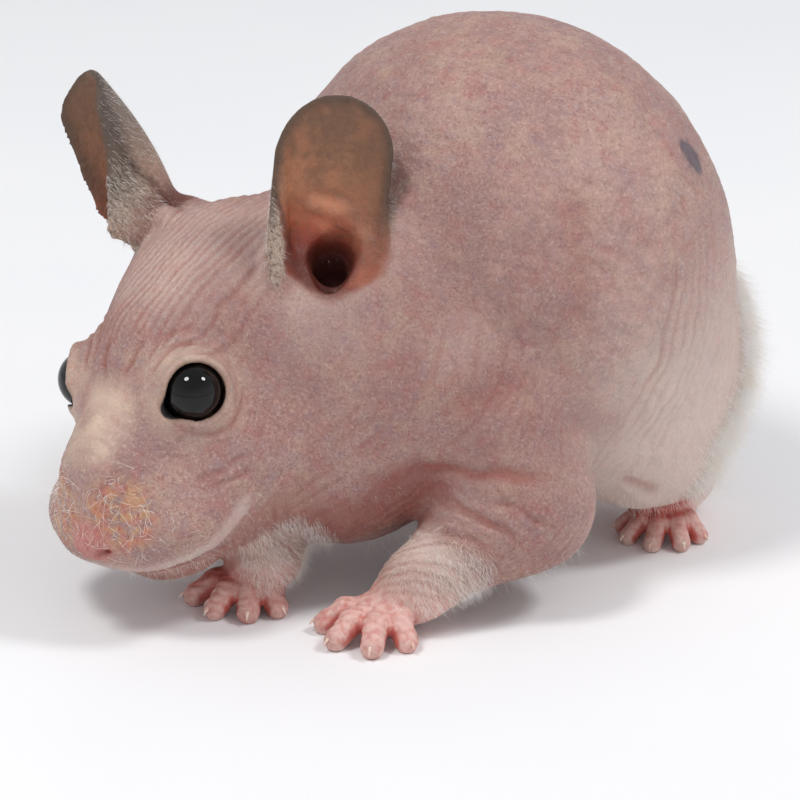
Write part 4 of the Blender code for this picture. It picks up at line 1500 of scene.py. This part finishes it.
def hair_strands(name, roots, ways, bends, lengths, radius, mat, segments, sides=3):
    """Thin tapered hairs, each bent sideways towards its tip, as one mesh."""
    share = np.linspace(0, 1, segments + 1)
    centres = roots[:, None] + lengths[:, None, None] * (
        ways[:, None] * share[:, None] + bends[:, None] * share[:, None] ** 2)
    centres[..., 2] = np.maximum(centres[..., 2], radius)
    across = unit_rows(np.cross(ways, bends + 0.31 * ways[:, [1, 2, 0]] + 1e-4))
    above = np.cross(across, ways)
    width = radius * (1 - 0.85 * share)
    turns = 2 * np.pi * np.arange(sides) / sides
    ring = across[:, None] * np.cos(turns)[:, None] + above[:, None] * np.sin(turns)[:, None]
    points = centres[:, :, None] + width[:, None, None] * ring[:, None]
    starts = (segments + 1) * sides * np.arange(len(roots))
    faces = (ring_faces(segments, sides) + starts[:, None, None]).reshape(-1, 4)
    hairs = add_mesh(name, points.reshape(-1, 3), faces, mat)
    place = unwrap(roots)[:, None, None] + HAIR_PATCH * np.stack(np.meshgrid(
        share, np.arange(sides) / sides, indexing="ij"), -1)[None]
    layer = hairs.data.uv_layers.new(name="OFBake")
    layer.data.foreach_set("uv", place.reshape(-1, 2)[faces.ravel()].astype(np.float32).ravel())
    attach(hairs, "root")


def pick(rng, weight, count):
    """Numbers of count random points, more where the weight is high."""
    return rng.choice(len(weight), count, p=weight / weight.sum())


def random_ways(rng, count):
    return unit_rows(rng.normal(size=(count, 3)))


def make_whiskers(points, normals, mat):
    """Short curly whiskers that lie on the pads in loose whorls, and small ones round the mouth."""
    rng = np.random.default_rng(5)
    q = in_head(points)
    for name, side in (("left", 1), ("right", -1)):
        chosen = pick(rng, fade(ball(points, pad_middle(side), 4.0), 3.2, -0.6), PAD_WHISKERS)
        radial = unit_rows(points[chosen] - pad_middle(side) + 1.2 * random_ways(rng, PAD_WHISKERS))
        whorl = unit_rows(np.cross(normals[chosen], radial))
        ways = unit_rows(0.3 * normals[chosen] + 0.7 * whorl + 0.6 * random_ways(rng, PAD_WHISKERS))
        bends = -0.6 * radial - 0.3 * normals[chosen] + 0.7 * random_ways(rng, PAD_WHISKERS)
        lengths = rng.uniform(1.0, 3.0, PAD_WHISKERS)
        hair_strands("whiskers_" + name, points[chosen], ways, bends, lengths, 0.026, mat, 10)
    mouth = fade(q[:, 0], 10, 14) * fade(q[:, 2], 0, -5) * fade(q[:, 2], -17, -14)
    chosen = pick(rng, mouth * (1 - nose_amount(points)), MOUTH_WHISKERS)
    ways = unit_rows(0.7 * normals[chosen] - 0.6 * HEAD[0] + 0.5 * random_ways(rng, MOUTH_WHISKERS))
    bends = 0.6 * random_ways(rng, MOUTH_WHISKERS) - vec(0, 0, 0.2)
    lengths = rng.uniform(0.5, 1.5, MOUTH_WHISKERS)
    hair_strands("whiskers_loose", points[chosen], ways, bends, lengths, 0.015, mat, 6)


# The rump's fluff grows round this line, and round its mirror
FLUFF_LINE = ((26, 55, 29), (26, 55.5, 18), (27.4, 47, 12))
WRIST_FLUFF = vec(3.5, 0, 1.5)  # from the wrist to the middle of its fluff
HANG = vec(0, 0.45, -0.75)     # the way the hairs lie


def fluff_amount(p, side):
    line = [vec(side * x, y, z) for x, y, z in FLUFF_LINE]
    return max_of(fade(limb(p, a, b, 4.6, 4.6), 2.8, -1.8) for a, b in zip(line, line[1:]))


def make_down(points, normals, mat):
    """Sparse short hairs all over, and soft white fluff on the rump, the wrists and the belly."""
    rng = np.random.default_rng(8)
    q = in_head(points)
    clear = fade(points[:, 2], 2.5, 5) * fade(lid_gap(points), 0.9, 1)
    wrists = clear * max_of(fade(ball(points, leg["wrist"] + WRIST_FLUFF, 4.6), 2.4, 0)
                            for leg in FORELEGS.values())
    belly = clear * fade(points[:, 2], 13, 9) * fade(points[:, 1], 6, 14)
    belly = belly * fade(normals[:, 2], -0.3, -0.8)
    jaw = clear * fade(q[:, 0], 2, 10) * fade(q[:, 2], -11, -14)
    ear = ear_amount(points)
    parts = ear_parts(points)
    backs = clear * ear * (1 - parts["ear_inside"])
    fronts = clear * ear * parts["ear_front"] * (1 - parts["ear_line"])
    for name, weight, count, length, radius, slot in (
            ("down_body", clear * (1 - ear), 2000, (0.3, 0.7), 0.009, "skin"),
            ("down_rump_left", fluff_amount(points, 1), 8000, (1.0, 3.4), 0.014, "skin"),
            ("down_rump_right", fluff_amount(points, -1), 6000, (1.0, 3.4), 0.014, "skin"),
            ("down_wrists", wrists, 4000, (0.5, 1.6), 0.014, "foot_skin"),
            ("down_belly", belly, 1500, (1.0, 2.2), 0.015, "skin"),
            ("down_jaw", jaw, 500, (0.4, 1.1), 0.014, "skin"),
            ("down_ears", backs, 1500, (0.4, 0.9), 0.012, "ear_skin"),
            ("down_ear_fronts", fronts, 1200, (0.4, 1.0), 0.014, "ear_skin")):
        chosen = pick(rng, weight, count)
        ways = unit_rows(0.75 * normals[chosen] + HANG + 0.5 * random_ways(rng, count))
        bends = 0.35 * random_ways(rng, count) + 0.3 * HANG
        lengths = rng.uniform(*length, count)
        hair_strands(name, points[chosen], ways, bends, lengths, radius, mat, 4)


# Surroundings

def view_axes():
    """Rows: right, up and back of the camera."""
    turn, rise = math.radians(VIEW_AZIMUTH), math.radians(VIEW_ELEVATION)
    back = vec(math.sin(turn) * math.cos(rise), -math.cos(turn) * math.cos(rise), math.sin(rise))
    right = vec(math.cos(turn), math.sin(turn), 0)
    return np.array([right, np.cross(back, right), back])


def add_camera():
    right, up, back = view_axes()
    across, down = (pixel - FILM_PX / 2 for pixel in ANCHOR_PX)
    sight = unit(across / FOCAL_PX * right - down / FOCAL_PX * up - back)
    data = bpy.data.cameras.new("camera")
    data.sensor_width = FILM_WIDTH
    data.lens = FILM_WIDTH * FOCAL_PX / FILM_PX
    data.clip_start = 0.01
    camera = bpy.data.objects.new("camera", data)
    bpy.context.scene.collection.objects.link(camera)
    turned = Matrix(np.array([right, up, back]).T.tolist()).to_4x4()
    turned.translation = Vector(to_frame(ANCHOR - sight * CAMERA_DISTANCE))
    camera.matrix_world = turned
    bpy.context.scene.camera = camera


def add_light(name, azimuth, elevation, distance, size, power, colour):
    """A round soft light that faces the animal."""
    turn, rise = math.radians(azimuth), math.radians(elevation)
    way = Vector((math.sin(turn) * math.cos(rise), -math.cos(turn) * math.cos(rise), math.sin(rise)))
    data = bpy.data.lights.new(name, "AREA")
    data.shape = "DISK"
    data.size = size
    data.energy = power
    data.color = colour
    light = bpy.data.objects.new(name, data)
    bpy.context.scene.collection.objects.link(light)
    light.matrix_world = way.to_track_quat("Z", "Y").to_matrix().to_4x4()
    light.location = Vector((0, 0, 0.02)) + way * distance


def pale_room():
    """A room that is pale all round and dark overhead."""
    world = bpy.data.worlds.new("pale_room")
    world.use_nodes = True
    look = Look(world.node_tree, "Generated")
    height = look.add("SeparateXYZ", look.place).outputs["Z"]
    look.dress(world.node_tree.nodes["Background"], {
        "Color": (0.96, 0.97, 1.0, 1),
        "Strength": look.spread(height, 0.1, 0.75, SIDE_LIGHT, TOP_LIGHT),
    })
    return world


def add_surroundings():
    """A pale floor and plain soft light."""
    half = 3.0
    mesh = bpy.data.meshes.new("floor")
    corners = [(-half, -half, 0), (half, -half, 0), (half, half, 0), (-half, half, 0)]
    mesh.from_pydata(corners, [], [(0, 1, 2, 3)])
    mesh.materials.append(floor_material())
    floor = bpy.data.objects.new("floor", mesh)
    bpy.context.scene.collection.objects.link(floor)
    bpy.context.scene.world = pale_room()
    add_light("soft_front", -11, 62, 0.7, 0.18, 1.9, (1.0, 0.99, 0.97))
    add_light("soft_back", 119, 54, 0.8, 0.18, 2.1, (0.99, 0.99, 1.0))
    bpy.context.scene.view_settings.view_transform = "Standard"


def build():
    add_camera()
    add_surroundings()
    points, normals = make_skin()
    make_eyes(eye_material())
    make_claws(claw_material())
    hair = hair_material()
    make_whiskers(points, normals, hair)
    make_down(points, normals, hair)


build()
